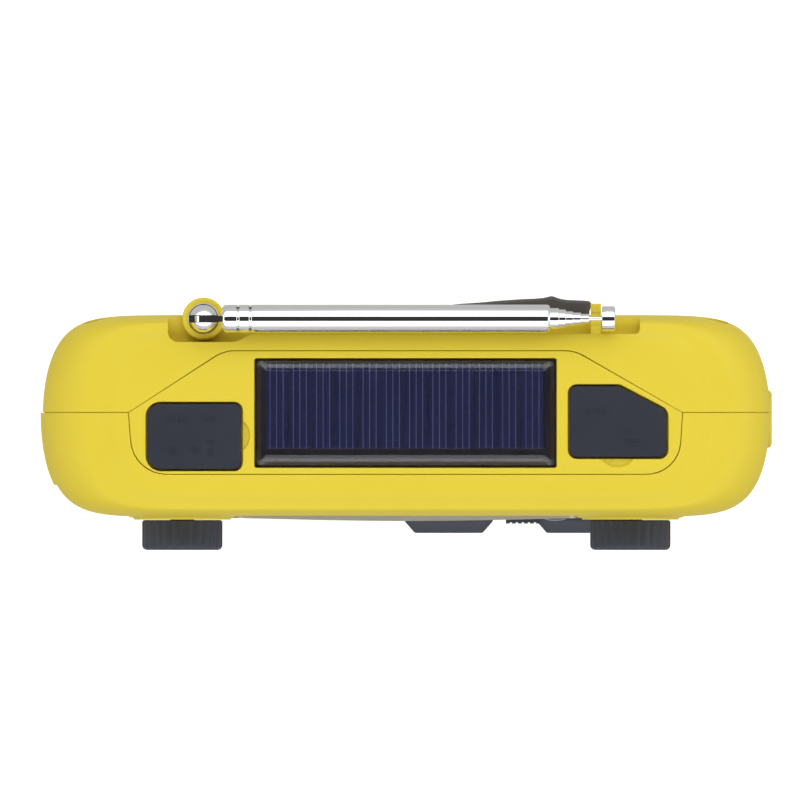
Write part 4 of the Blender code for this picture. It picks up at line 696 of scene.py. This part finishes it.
left_marks = [raised(rectangle(x, x + 0.55, middle - 1.5, middle - 0.1, 0.15, 2))
              for x in (-60.0, -58.8, -57.6, -56.4, -55.2, -50.8, -49.6, -48.4)]
left_marks += [ring_mark(-58.4, middle - 8.6, 0.9), ring_mark(-52.9, middle - 8.6, 0.9)]
left_marks += [raised(rectangle(-49.6, -48.0, middle + y, middle + y + 0.4, 0.15, 2)) for y in (-6.6, -8.7, -9.9)]
right_marks = [raised(rectangle(x, x + 0.5, middle + 0.5, middle + 1.8, 0.15, 2))
               for x in (44.8, 46.0, 47.2, 48.4, 49.6)]
right_marks += [raised(rectangle(54.8, 58.6, middle + y, middle + y + 0.35, 0.15, 2)) for y in (-6.2, -7.4)]
for name, port_at, marks in (("left_port_cover", left_port_at, left_marks),
                             ("right_port_cover", right_port_at, right_marks)):
    flap = soft_prism(name + "_flap", lambda g, at=port_at: at(g - 0.2), "Z", cover_low, cover_top, 0.45)
    carve(flap, "UNION", *marks)
    fit(flap, rubber, "left_cover" if name.startswith("left") else "right_cover", [name])

# ----------------------------------------
# Sockets in the wells: a stamped steel charging socket, a black plastic earphone socket, and a
# steel shell for the output plug with its contact tongue.

plated = clouded("plated_steel", (1.5, 3.0, (1.0, 1.0, 0.08)), (0.52, 0.52, 0.53), (0.68, 0.68, 0.69),
                 0.2, 0.2, 0.006, 1.0)
black = moulded("black_plastic", (0.018, 0.018, 0.02), (0.026, 0.026, 0.028), 0.45)
dress(["charge_socket", "usb_output_socket", "generator", "volume_control", "speaker_frame"], plated)
socket_top = case_top - 7.9
throat = [(1.8, socket_top - 12), (3.2, socket_top - 12), (3.2, socket_top - 0.3), (2.9, socket_top),
          (2.2, socket_top), (1.8, socket_top - 0.4)]
phone = lathe("phone_socket_body", throat, "Z", phone_place, 48, ring=True)
fit(phone, black, "case", ["phone_socket"])

# ----------------------------------------
# Antenna: polished chromed brass tubes drawn one inside the next, with a turned cap. The main
# tube's tongue swings in a slotted ball, and the ball's foot turns in a lug on the case.

chrome = Finish("polished_chrome", (0.86, 0.86, 0.87), 0.05, 1.0)
draw_marks, smears = chrome.noise(0.8, 3.0, (0.04, 1.0, 1.0)), chrome.noise(16.0, 4.0)
chrome.feed("Roughness", 0.02 + 0.03 * draw_marks + 0.04 * smears)
chrome.feed("Base Color", chrome.mix(smears, (0.83, 0.835, 0.85), (0.89, 0.89, 0.895)))
chrome.bump(draw_marks, 0.0015)
antenna_z = case_top + 3.9
pivot, pin_hole = (antenna_x, antenna_z), 0.72
line = (antenna_y, antenna_z)

flange = case_top - 1.7
curve = [(0, flange - 11), (1.5, flange - 11), (1.8, flange - 10.6), (1.8, flange), (3.7, flange),
         (3.9, flange + 0.2),
         (3.9, flange + 0.8), (3.7, flange + 1.0), (2.5, flange + 1.15)]
curve += [(3.5 * math.cos(t), antenna_z + 3.5 * math.sin(t)) for t in np.radians(np.linspace(-44, 90, 28))]
knuckle = lathe("antenna_ball", curve, "Z", (antenna_x, antenna_y), 72)
carve(knuckle, "DIFFERENCE", box((antenna_x - 6, antenna_y - 0.95, antenna_z - 2.6),
                                 (antenna_x + 6, antenna_y + 0.95, antenna_z + 6)),
      drill((pin_hole, pivot, 24), "Y", antenna_y - 6, antenna_y + 6))
fit(knuckle, chrome, "antenna_base", ["antenna_knuckle"])
rivet = lathe("antenna_rivet", [(0, antenna_y - 3.1), (0.45, antenna_y - 3.1), (0.6, antenna_y - 2.95),
                                (0.6, antenna_y + 2.95),
                               (0.45, antenna_y + 3.1), (0, antenna_y + 3.1)], "Y", pivot, 24)
fit(rivet, plated, "antenna_base", ["antenna_hinge_pin"])

tube_radii = (3.535, 2.65, 2.3, 1.85, 1.55, 1.2)
tube_ends = (35.9, 38.2, 39.9, 41.7, 43.7, 45.8)
collar = antenna_x + 4.6
curve = [(0, collar), (1.6, collar)]
curve += [(3.535 - 1.2 * (1 - math.sin(t)), collar + 1.2 * (1 - math.cos(t)))
          for t in np.radians((20, 40, 55, 70, 90))]
for groove in (4.0, 7.1):
    curve += [(3.535, collar + groove - 0.35), (3.36, collar + groove - 0.12), (3.33, collar + groove),
              (3.36, collar + groove + 0.12), (3.535, collar + groove + 0.35)]
curve += [(3.535, tube_ends[0] - 1.0), (3.5, tube_ends[0] - 0.45), (3.1, tube_ends[0]), (2.75, tube_ends[0]),
          (2.75, collar + 2.5), (0, collar + 2.5)]
main_tube = lathe("antenna_stage_1_tube", curve, "X", line, 72)
turn = np.radians(np.linspace(90, 270, 17))
tongue = np.array([(collar + 1.7, antenna_z - 1.5), (collar + 1.7, antenna_z + 1.5)]
                  + [(antenna_x + 2.2 * math.cos(t), antenna_z + 2.2 * math.sin(t)) for t in turn])
carve(main_tube, "UNION", prism("tongue", tongue, "Y", antenna_y - 0.75, antenna_y + 0.75))
dimples = [drill((0.45, (collar + x, antenna_z + 2.1), 14), "Y", antenna_y + side * 2.3, antenna_y + side * 5)
           for x in (4.0, 7.1) for side in (-1, 1)]
carve(main_tube, "DIFFERENCE", drill((pin_hole, pivot, 24), "Y", antenna_y - 6, antenna_y + 6), *dimples)
fit(main_tube, chrome, "antenna_stage_1", ["antenna_main_tube"])
for number in range(1, 6):
    radius, end = tube_radii[number], tube_ends[number]
    bore = (0.55 if number == 5 else tube_radii[number + 1]) + 0.1
    low = collar + 2.5 + 0.6 * number
    rim_in = min(0.3, (radius - bore) * 0.6)
    curve = [(bore, low), (radius, low), (radius, end - 0.35), (radius - rim_in * 0.4, end - 0.1),
             (radius - rim_in, end), (bore, end)]
    tube = lathe(f"antenna_stage_{number + 1}_tube", curve, "X", line, 56, ring=True)
    fit(tube, chrome, f"antenna_stage_{number + 1}", [f"antenna_tube_{number + 1}"])
low = collar + 2.5 + 3.6
curve = [(0, low), (0.55, low), (0.55, 48.9), (2.9, 48.9), (3.1, 49.0), (3.15, 49.25), (3.15, 51.7), (3.05, 52.0),
         (2.7, 52.25), (0.8, 52.3), (0, 52.3)]
tip = lathe("antenna_tip_cap", curve, "X", line, 64)
fit(tip, chrome, "antenna_rod", ["antenna_tip"])

# ----------------------------------------
# Knobs: charcoal plastic turnings with a fluted grip and a dished face with a pointer groove.
# The volume knob has its own stem, and the tuning knob presses onto the tuning shaft.

charcoal = moulded("charcoal_plastic", (0.034, 0.038, 0.055), (0.043, 0.047, 0.064), 0.5, Specular_IOR_Level=0.4)
knob_back = front_face - 0.75
knob_face = knob_back - 7.5


def knob(name, x, stem):
    """Radius falls in 24 shallow flutes along the grip and none at the face; the face is a shallow dish."""
    turn = np.linspace(0, 2 * np.pi, 288, endpoint=False)
    flute = 0.32 * (0.5 + 0.5 * np.cos(24 * turn)) ** 2
    rows = [(9.6, 0.0, 0.2), (10.0, 0.25, 0.6), (10.1, 0.6, 1.0), (10.1, 6.2, 1.0), (10.0, 6.8, 0.8),
            (9.6, 7.25, 0.3),
            (9.0, 7.5, 0.0), (8.2, 7.48, 0.0), (7.6, 7.3, 0.0), (4.0, 7.12, 0.0), (0.02, 7.1, 0.0)]
    if stem:
        rows = [(0.02, -8.2, 0), (2.7, -8.2, 0), (3.0, -7.9, 0), (3.0, 0.0, 0)] + rows
    else:
        rows = [(0.02, 4.9, 0), (3.15, 4.9, 0), (3.15, 0.0, 0)] + rows
    rings = [along(np.stack([x + (r - flute * share) * np.cos(turn), knob_z + (r - flute * share) * np.sin(turn)],
                            1), "Y", knob_back - out)
             for r, out, share in rows]
    made = skin(name, rings)
    return carve(made, "DIFFERENCE", prism("cutter",
                                           rectangle(x - 0.55, x + 0.55, knob_z + 3.4, knob_z + 9.2, 0.5, 4), "Y",
                                           knob_face - 1, knob_face + 0.9))


fit(knob("volume_knob_grip", -knob_x, True), charcoal, "volume", ["volume_knob"])
fit(knob("tuning_knob_grip", knob_x, False), charcoal, "tuning", ["tuning_knob"])

# ----------------------------------------
# Front plate: a bowed moulding in satin silver paint with the speaker slots, the dial window,
# the signal lamp and the openings for the buttons and the slide switch.

silver = Finish("silver_paint", (0.6, 0.59, 0.57), 0.34, 0.55)
flake, orange_peel = silver.noise(0.12, 1.0), silver.noise(2.2, 2.0)
silver.feed("Base Color", silver.mix(flake, (0.53, 0.52, 0.505), (0.66, 0.65, 0.63)))
silver.feed("Roughness", 0.28 + 0.1 * flake + 0.08 * orange_peel)
silver.bump(orange_peel, 0.01)
plate_back = front_face + 0.6
fascia = prism("front_plate", fascia_at(0.0), "Y", front_face - 5, plate_back)
share = np.linspace(1, -1, 65)
bow_face = np.stack([64.3 * share, front_face - 0.05 - 0.95 * (1 - share**2) ** 2.5], 1)
bow = np.concatenate([[(64.3, plate_back + 2)], bow_face, [(-64.3, plate_back + 2)]])
carve(fascia, "INTERSECT", prism("bow", bow, "Z", 0, case_top))
front_at = front_face - 0.15 - 0.8
cuts = [flared(lambda g: rectangle(3.0 - g, 32.0 + g, 40.0 - g, 60.0 + g, 1.5 + g), "Y", plate_back + 3, front_at,
               0.4)]
cuts += [flared(lambda g, x=x: button_at(x, 0.3 + g), "Y", plate_back + 3, front_at, 0.3) for x in button_xs]
cuts.append(prism("cutter", rectangle(20.6, 37.7, switch_z - 1.8, switch_z + 1.8, 0.8), "Y", front_face - 10,
                  plate_back + 3))
for row in range(-3, 4):
    half = math.sqrt(15.5**2 - (row * slot_pitch) ** 2)
    z = speaker_z + row * slot_pitch
    cuts.append(flared(lambda g, z=z, half=half: rectangle(speaker_x - half - g, speaker_x + half + g, z - 1.1 - g,
            z + 1.1 + g, 1.05), "Y", plate_back + 3, front_at, 0.3))
cuts.append(drill((3.1, signal_place), "Y", front_face - 10, plate_back + 3))
carve(fascia, "DIFFERENCE", *cuts)
fit(fascia, silver, "case", ["front_fascia"])

smoked = clouded("smoked_lens", (2.0, 3.0), (0.010, 0.010, 0.016), (0.022, 0.02, 0.03), 0.05, 0.08, 0.003,
                 Coat_Weight=0.5)
curve = [(0, plate_back), (2.8, plate_back), (2.8, front_face - 0.35)]
curve += [(2.8 * math.cos(t), front_face - 0.35 - 0.55 * math.sin(t)) for t in np.radians(np.linspace(15, 90, 8))]
fit(lathe("signal_lamp_lens", curve, "Y", signal_place), smoked, "case", ["signal_lamp"])
dial_window = soft_prism("dial_window_pane", lambda g: boxed((3.3, 31.7, 40.3, 59.7), g, 1.2), "Y", plate_back,
                         front_face - 0.6, 0.25)
clear = clouded("clear_styrene", (6.0, 3.0), (0.95, 0.96, 0.97), (0.97, 0.98, 0.99), 0.02, 0.03, 0.003,
                Transmission_Weight=1.0, IOR=1.45)
fit(dial_window, clear, "case", ["dial_window"])

wall_inside = front_face + 2.2
card_low, card_high = (1.5, wall_inside + 3.5, 38.6), (33.5, wall_inside + 4.1, 61.4)
card = soft_prism("dial_card", lambda g: boxed((card_low[0], card_high[0], card_low[2], card_high[2]), g, 1.0), "Y",
                  card_high[1], card_low[1], 0.15)
printed = Finish("dial_card", (0.82, 0.82, 0.78), 0.55)
along_card, up_card = printed.place("X") - 8.0, printed.place("Z")
coarse = (abs((along_card / 3.4).fraction() - 0.5) < 0.055) * (up_card > 53.6) * (up_card < 57.2)
fine = (abs((along_card / 0.68).fraction() - 0.5) < 0.13) * (up_card > 54.8) * (up_card < 56.2)
lower = (abs((along_card / 2.4).fraction() - 0.5) < 0.07) * (up_card > 43.2) * (up_card < 45.6)
ruled = (abs(up_card - 53.4) < 0.1).top(abs(up_card - 46.0) < 0.1)
inked = coarse.top(fine).top(lower).top(ruled) * (along_card > -1.0) * (along_card < 18.5)
sheet_grain = printed.noise(0.5, 3.0)
sheet = printed.mix(sheet_grain, (0.80, 0.80, 0.75), (0.86, 0.86, 0.82))
printed.feed("Base Color", printed.mix(inked, sheet, (0.02, 0.02, 0.02)))
printed.feed("Roughness", 0.5 + 0.1 * sheet_grain)
printed.bump(inked, 0.02)
fit(card, printed, "case", [])
for name, x in (("left_button", button_xs[0]), ("right_button", button_xs[1])):
    rows = [(0.0, wall_inside + 0.6), (0.0, front_face - 0.9), (0.12, front_face - 1.2), (2.3, front_face - 3.7),
            (2.6, front_face - 3.95), (3.1, front_face - 4.0), (4.2, front_face - 3.9)]
    cap = skin(name + "_cap", [along(rectangle(x - 11.05 + r, x + 11.05 - r, button_z - 5 + r * 0.7,
                                               button_z + 5 - r * 0.7, max(2.2 - r * 0.35, 0.5)), "Y", y) for r,
                                               y in rows])
    carve(cap, "UNION", prism("flange", rectangle(x - 12.05, x + 12.05, button_z - 6, button_z + 6, 2.5), "Y",
                              wall_inside + 0.4, wall_inside + 1.6))
    fit(cap, charcoal, "left_push" if x < 20 else "right_push", [name])
dress(["band_switch"], charcoal)

# ----------------------------------------
# Crank: a charcoal arm that lies in a round dish in the back. Its slot holds the folded grip,
# a ribbed sleeve that spins on the shank of a small yoke.

worn_charcoal = moulded("worn_charcoal", (0.060, 0.061, 0.069), (0.074, 0.075, 0.083), 0.5, Specular_IOR_Level=0.4)
arm_back, tip_x = rear_face - 2.65, 46.3
side_x = np.array((-10, 5, 13.4, 18.4, 23.4, 28.4, 32.2, 34.9, 35.7, 36.3, 36.9, 37.9, 39.7, 44.7, 45.9, 46.5))
side_y = np.array((1.9, 1.9, 2.8, 3.13, 3.6, 3.95, 4.1, 4.35, 4.65, 4.75, 4.65, 4.2, 3.8, 3.6, 3.45,
                   3.2)) + rear_face


def arm_at(draw):
    """Plan of the arm: half a circle round the hub, straight sides, and a square tip with round corners."""
    hub = np.radians(np.linspace(90, 270, 25))
    corner = np.radians(np.linspace(-90, 0, 8))
    tip, half, round_off = tip_x - draw, 6.4 - draw, 2.2 - draw
    low = np.stack([tip - round_off + round_off * np.cos(corner),
                    crank_z - half + round_off + round_off * np.sin(corner)], 1)
    high = np.stack([low[:, 0], 2 * crank_z - low[:, 1]], 1)[::-1]
    back = np.stack([crank_x + (7.5 - draw) * np.cos(hub), crank_z + (7.5 - draw) * np.sin(hub)], 1)
    return np.concatenate([back, np.linspace(back[-1], low[0], 34)[1:-1], low, high,
                           np.linspace(high[-1], back[0], 34)[1:-1]])


rows = [along(arm_at(0.6), "Y", arm_back)]
for draw, drop in ((0.5, 2.6), (0.0, 0.8), (0.08, 0.4), (0.3, 0.12), (0.7, 0.0)):
    ring = arm_at(draw)
    depth = np.interp(ring[:, 0], side_x, side_y) - drop
    rows.append(along(ring, "Y", np.maximum(depth, arm_back + 0.2)))
ring = arm_at(0.7)
for scale in (0.8, 0.5, 0.2):
    inner = np.stack([26 + (ring[:, 0] - 26) * (0.9 + 0.1 * scale), crank_z + (ring[:, 1] - crank_z) * scale], 1)
    rows.append(along(inner, "Y", np.interp(inner[:, 0], side_x, side_y)))
arm = skin("crank_arm_lever", rows)
hinge = (41.5, rear_face + 0.72)
cuts = [box((19.8, arm_back - 5, crank_z - 3.9), (60, rear_face + 20, crank_z + 3.9)),
        drill((1.3, hinge, 32), "Z", crank_z - 5.2, crank_z + 5.2),
        drill((2.65, (crank_x, crank_z)), "Y", arm_back - 5, rear_face + 0.6)]
carve(arm, "DIFFERENCE", *cuts)
fit(arm, worn_charcoal, "crank", ["crank_arm"])
yoke = lathe("grip_yoke_eye", [(0, crank_z - 5), (1.1, crank_z - 5), (1.1, crank_z - 3.6), (2.6, crank_z - 3.6),
                               (2.9, crank_z - 3.3),
                              (2.9, crank_z + 3.3), (2.6, crank_z + 3.6), (1.1, crank_z + 3.6), (1.1, crank_z + 5),
                              (0, crank_z + 5)], "Z", hinge, 48)
shank = lathe("shank", [(0, 40.5), (1.3, 40.5), (1.3, 21.6), (2.0, 21.6), (2.1, 21.4), (2.1, 20.9), (1.8, 20.65),
                        (0, 20.6)], "X", (hinge[1], crank_z), 40)
fit(carve(yoke, "UNION", shank), worn_charcoal, "grip", ["grip_yoke"])
curve = [(1.6, 38.3), (2.9, 38.3), (3.15, 38.0)]
for start in np.linspace(37.2, 22.7, 11):
    swell = 3.25 - 0.75 * ((38.0 - start) / 17.4) ** 2
    curve += [(swell, start), (swell, start - 0.8), (swell - 0.22, start - 0.95), (swell - 0.22, start - 1.2)]
curve += [(2.5, 20.9), (2.35, 20.6), (2.3, 20.6), (2.3, 21.9), (1.6, 21.9)]
sleeve = lathe("grip_sleeve_roller", curve, "X", (hinge[1], crank_z), 48, ring=True)
fit(sleeve, charcoal, "grip_roller", ["grip_sleeve"])

# ----------------------------------------
# Flashlight in the right end: a yellow bezel pressed into the case, a clear lens, and a vacuum-plated
# reflector.

lamp = (lamp_y, lamp_z)
face = half_width + 0.5
curve = [(5.5, half_width - 11), (6.3, half_width - 11), (6.3, half_width - 1.0), (7.2, half_width - 1.0),
         (7.2, face - 0.9),
         (7.1, face - 0.55), (6.8, face - 0.25), (6.3, face), (5.9, face), (5.5, face - 0.5)]
fit(lathe("flashlight_ring", curve, "X", lamp, 96, ring=True), yellow, "case", ["flashlight_bezel"])
curve = [(0, face - 2.2), (5.35, face - 2.2), (5.35, face - 1.0), (4.9, face - 0.8), (3.5, face - 0.55),
         (1.8, face - 0.43), (0, face - 0.4)]
fit(lathe("flashlight_glass", curve, "X", lamp, 64), clear, "case", ["flashlight_lens"])
mirror = clouded("vacuum_plating", (1.5, 3.0), (0.82, 0.82, 0.84), (0.89, 0.89, 0.91), 0.03, 0.06, 0.003, 1.0)
dress(["flashlight_reflector"], mirror)

# ----------------------------------------
# Battery bay: a yellow door that follows the case's curve, a black tray, and three wrapped
# cells laid side by side, each with a raised contact at one end.

door = case_body("battery_door_panel")
door_edges = (-75.2, -24.15, 11.25, 55.85)
carve(door, "INTERSECT", soft_prism("door_outline", lambda g: boxed(door_edges, g, 1.0), "Y", rear_face - 2.8,
                                    rear_face + 2.0, 0.1))
groove_heights = [33.55 + (row - 2) * 2.2 for row in range(5)]
grips = [box((-33.0, rear_face - 0.45, z - 0.5), (-27.0, rear_face + 5, z + 0.5)) for z in groove_heights]
carve(door, "DIFFERENCE", *grips)
fit(door, yellow, "door", ["battery_door"])
dress(["battery_tray"], black)
wrap = Finish("cell_wrap", (0.3, 0.31, 0.34), 0.3)
band = (wrap.place("X") + 50.0) / 51.0
wrap_low = wrap.noise(3.0, 2.0)
wrap.feed("Base Color", wrap.mix(band > 0.25, (0.05, 0.055, 0.07), (0.30, 0.31, 0.34)))
wrap.feed("Roughness", 0.22 + 0.12 * wrap_low)
wrap.bump(wrap_low, 0.01)
for number in (1, 2, 3):
    low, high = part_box(f"battery_cell_{number}")
    ends = (low[0] / MM, high[0] / MM)
    side = -1 if number == 2 else 1
    start, stop = (ends[0], ends[1]) if side == 1 else (ends[1], ends[0])
    axis = ((low[1] + high[1]) / 2 / MM, (low[2] + high[2]) / 2 / MM)
    curve = [(0, start), (6.6, start), (6.6, start + side * 0.3), (7.0, start + side * 0.3),
             (7.25, start + side * 0.8), (7.25, stop - side * 2.0),
             (7.0, stop - side * 1.6), (6.4, stop - side * 1.5), (2.7, stop - side * 1.5), (2.6, stop - side * 0.2),
             (2.4, stop), (0, stop)]
    fit(lathe(f"cell_{number}", curve, "X", axis, 56), wrap, "case", [f"battery_cell_{number}"])

# ----------------------------------------
# Feet and screws: four rubber feet pressed into pockets in the floor, and four cross-head
# screws at the bottom of their wells in the back.

foot_names = ("foot_front_left", "foot_rear_left", "foot_front_right", "foot_rear_right")
for name, spot in zip(foot_names, foot_places):
    curve = [(0, 0), (4.2, 0), (4.75, 0.2), (5.0, 0.7), (5.0, 2.0), (0, 2.0)]
    fit(lathe(name + "_pad", curve, "Z", spot, 48), rubber, "case", [name])
seat = rear_face - 8.5
for number, spot in enumerate(screw_places, 1):
    curve = [(0, seat - 20), (1.3, seat - 19), (1.3, seat + 0.3), (2.6, seat + 0.3), (2.6, seat + 1.2),
             (2.4, seat + 1.6), (1.8, seat + 1.95), (0, seat + 2.1)]
    screw = lathe(f"case_screw_{number}_head", curve, "Y", spot, 40)
    x, z = spot
    carve(screw, "DIFFERENCE", box((x - 1.5, seat + 1.2, z - 0.25), (x + 1.5, seat + 5, z + 0.25)),
          box((x - 0.25, seat + 1.2, z - 1.5), (x + 0.25, seat + 5, z + 1.5)))
    fit(screw, plated, "case", [f"case_screw_{number}"])

# ----------------------------------------
# Works: circuit board, tuning parts, gears, speaker and the backup pack. They keep their CAD
# shapes, and each gets the finish of what it is made of.

nylon = moulded("natural_nylon", (0.72, 0.70, 0.62), (0.78, 0.76, 0.68), 0.45)
turned_brass = clouded("turned_brass", (0.6, 2.0), (0.66, 0.47, 0.19), (0.76, 0.56, 0.25), 0.18, 0.2, 0.004, 1.0)
paper = clouded("pressed_paper", (0.6, 5.0), (0.02, 0.02, 0.02), (0.05, 0.048, 0.045), 0.78, 0.14, 0.05)
mask = Finish("solder_mask", (0.02, 0.12, 0.05), 0.3)
tracks = mask.noise(2.5, 1.0, (1.0, 1.0, 0.2))
mask.feed("Base Color", mask.mix(tracks > 0.52, (0.012, 0.10, 0.04), (0.02, 0.16, 0.07)))
mask.feed("Roughness", 0.24 + 0.12 * tracks)
mask.bump(tracks > 0.52, 0.03)
shrink = moulded("green_shrink", (0.05, 0.25, 0.10), (0.06, 0.29, 0.13), 0.3)
ferrite = moulded("ferrite_and_coil", (0.05, 0.05, 0.05), (0.08, 0.075, 0.07), 0.6)
grey = moulded("grey_plastic", (0.33, 0.33, 0.34), (0.38, 0.38, 0.39), 0.5)
red = Finish("pointer_red", (0.55, 0.03, 0.02), 0.4)
speckle = red.noise(0.4, 2.0)
red.feed("Base Color", red.mix(red.place("Z") > 49.8, red.mix(speckle, (0.55, 0.025, 0.02), (0.66, 0.04, 0.03)),
                               (0.02, 0.02, 0.022)))
red.feed("Roughness", 0.34 + 0.12 * speckle)
red.bump(speckle, 0.01)
dress(["crank_gear", "idler_gear"], nylon)
dress(["crank_bushing", "generator_pinion", "tuning_shaft"], turned_brass)
dress(["speaker_cone"], paper)
dress(["main_board"], mask)
dress(["backup_pack"], shrink)
dress(["ferrite_rod"], ferrite)
dress(["tuning_capacitor"], grey)
dress(["dial_pointer"], red)
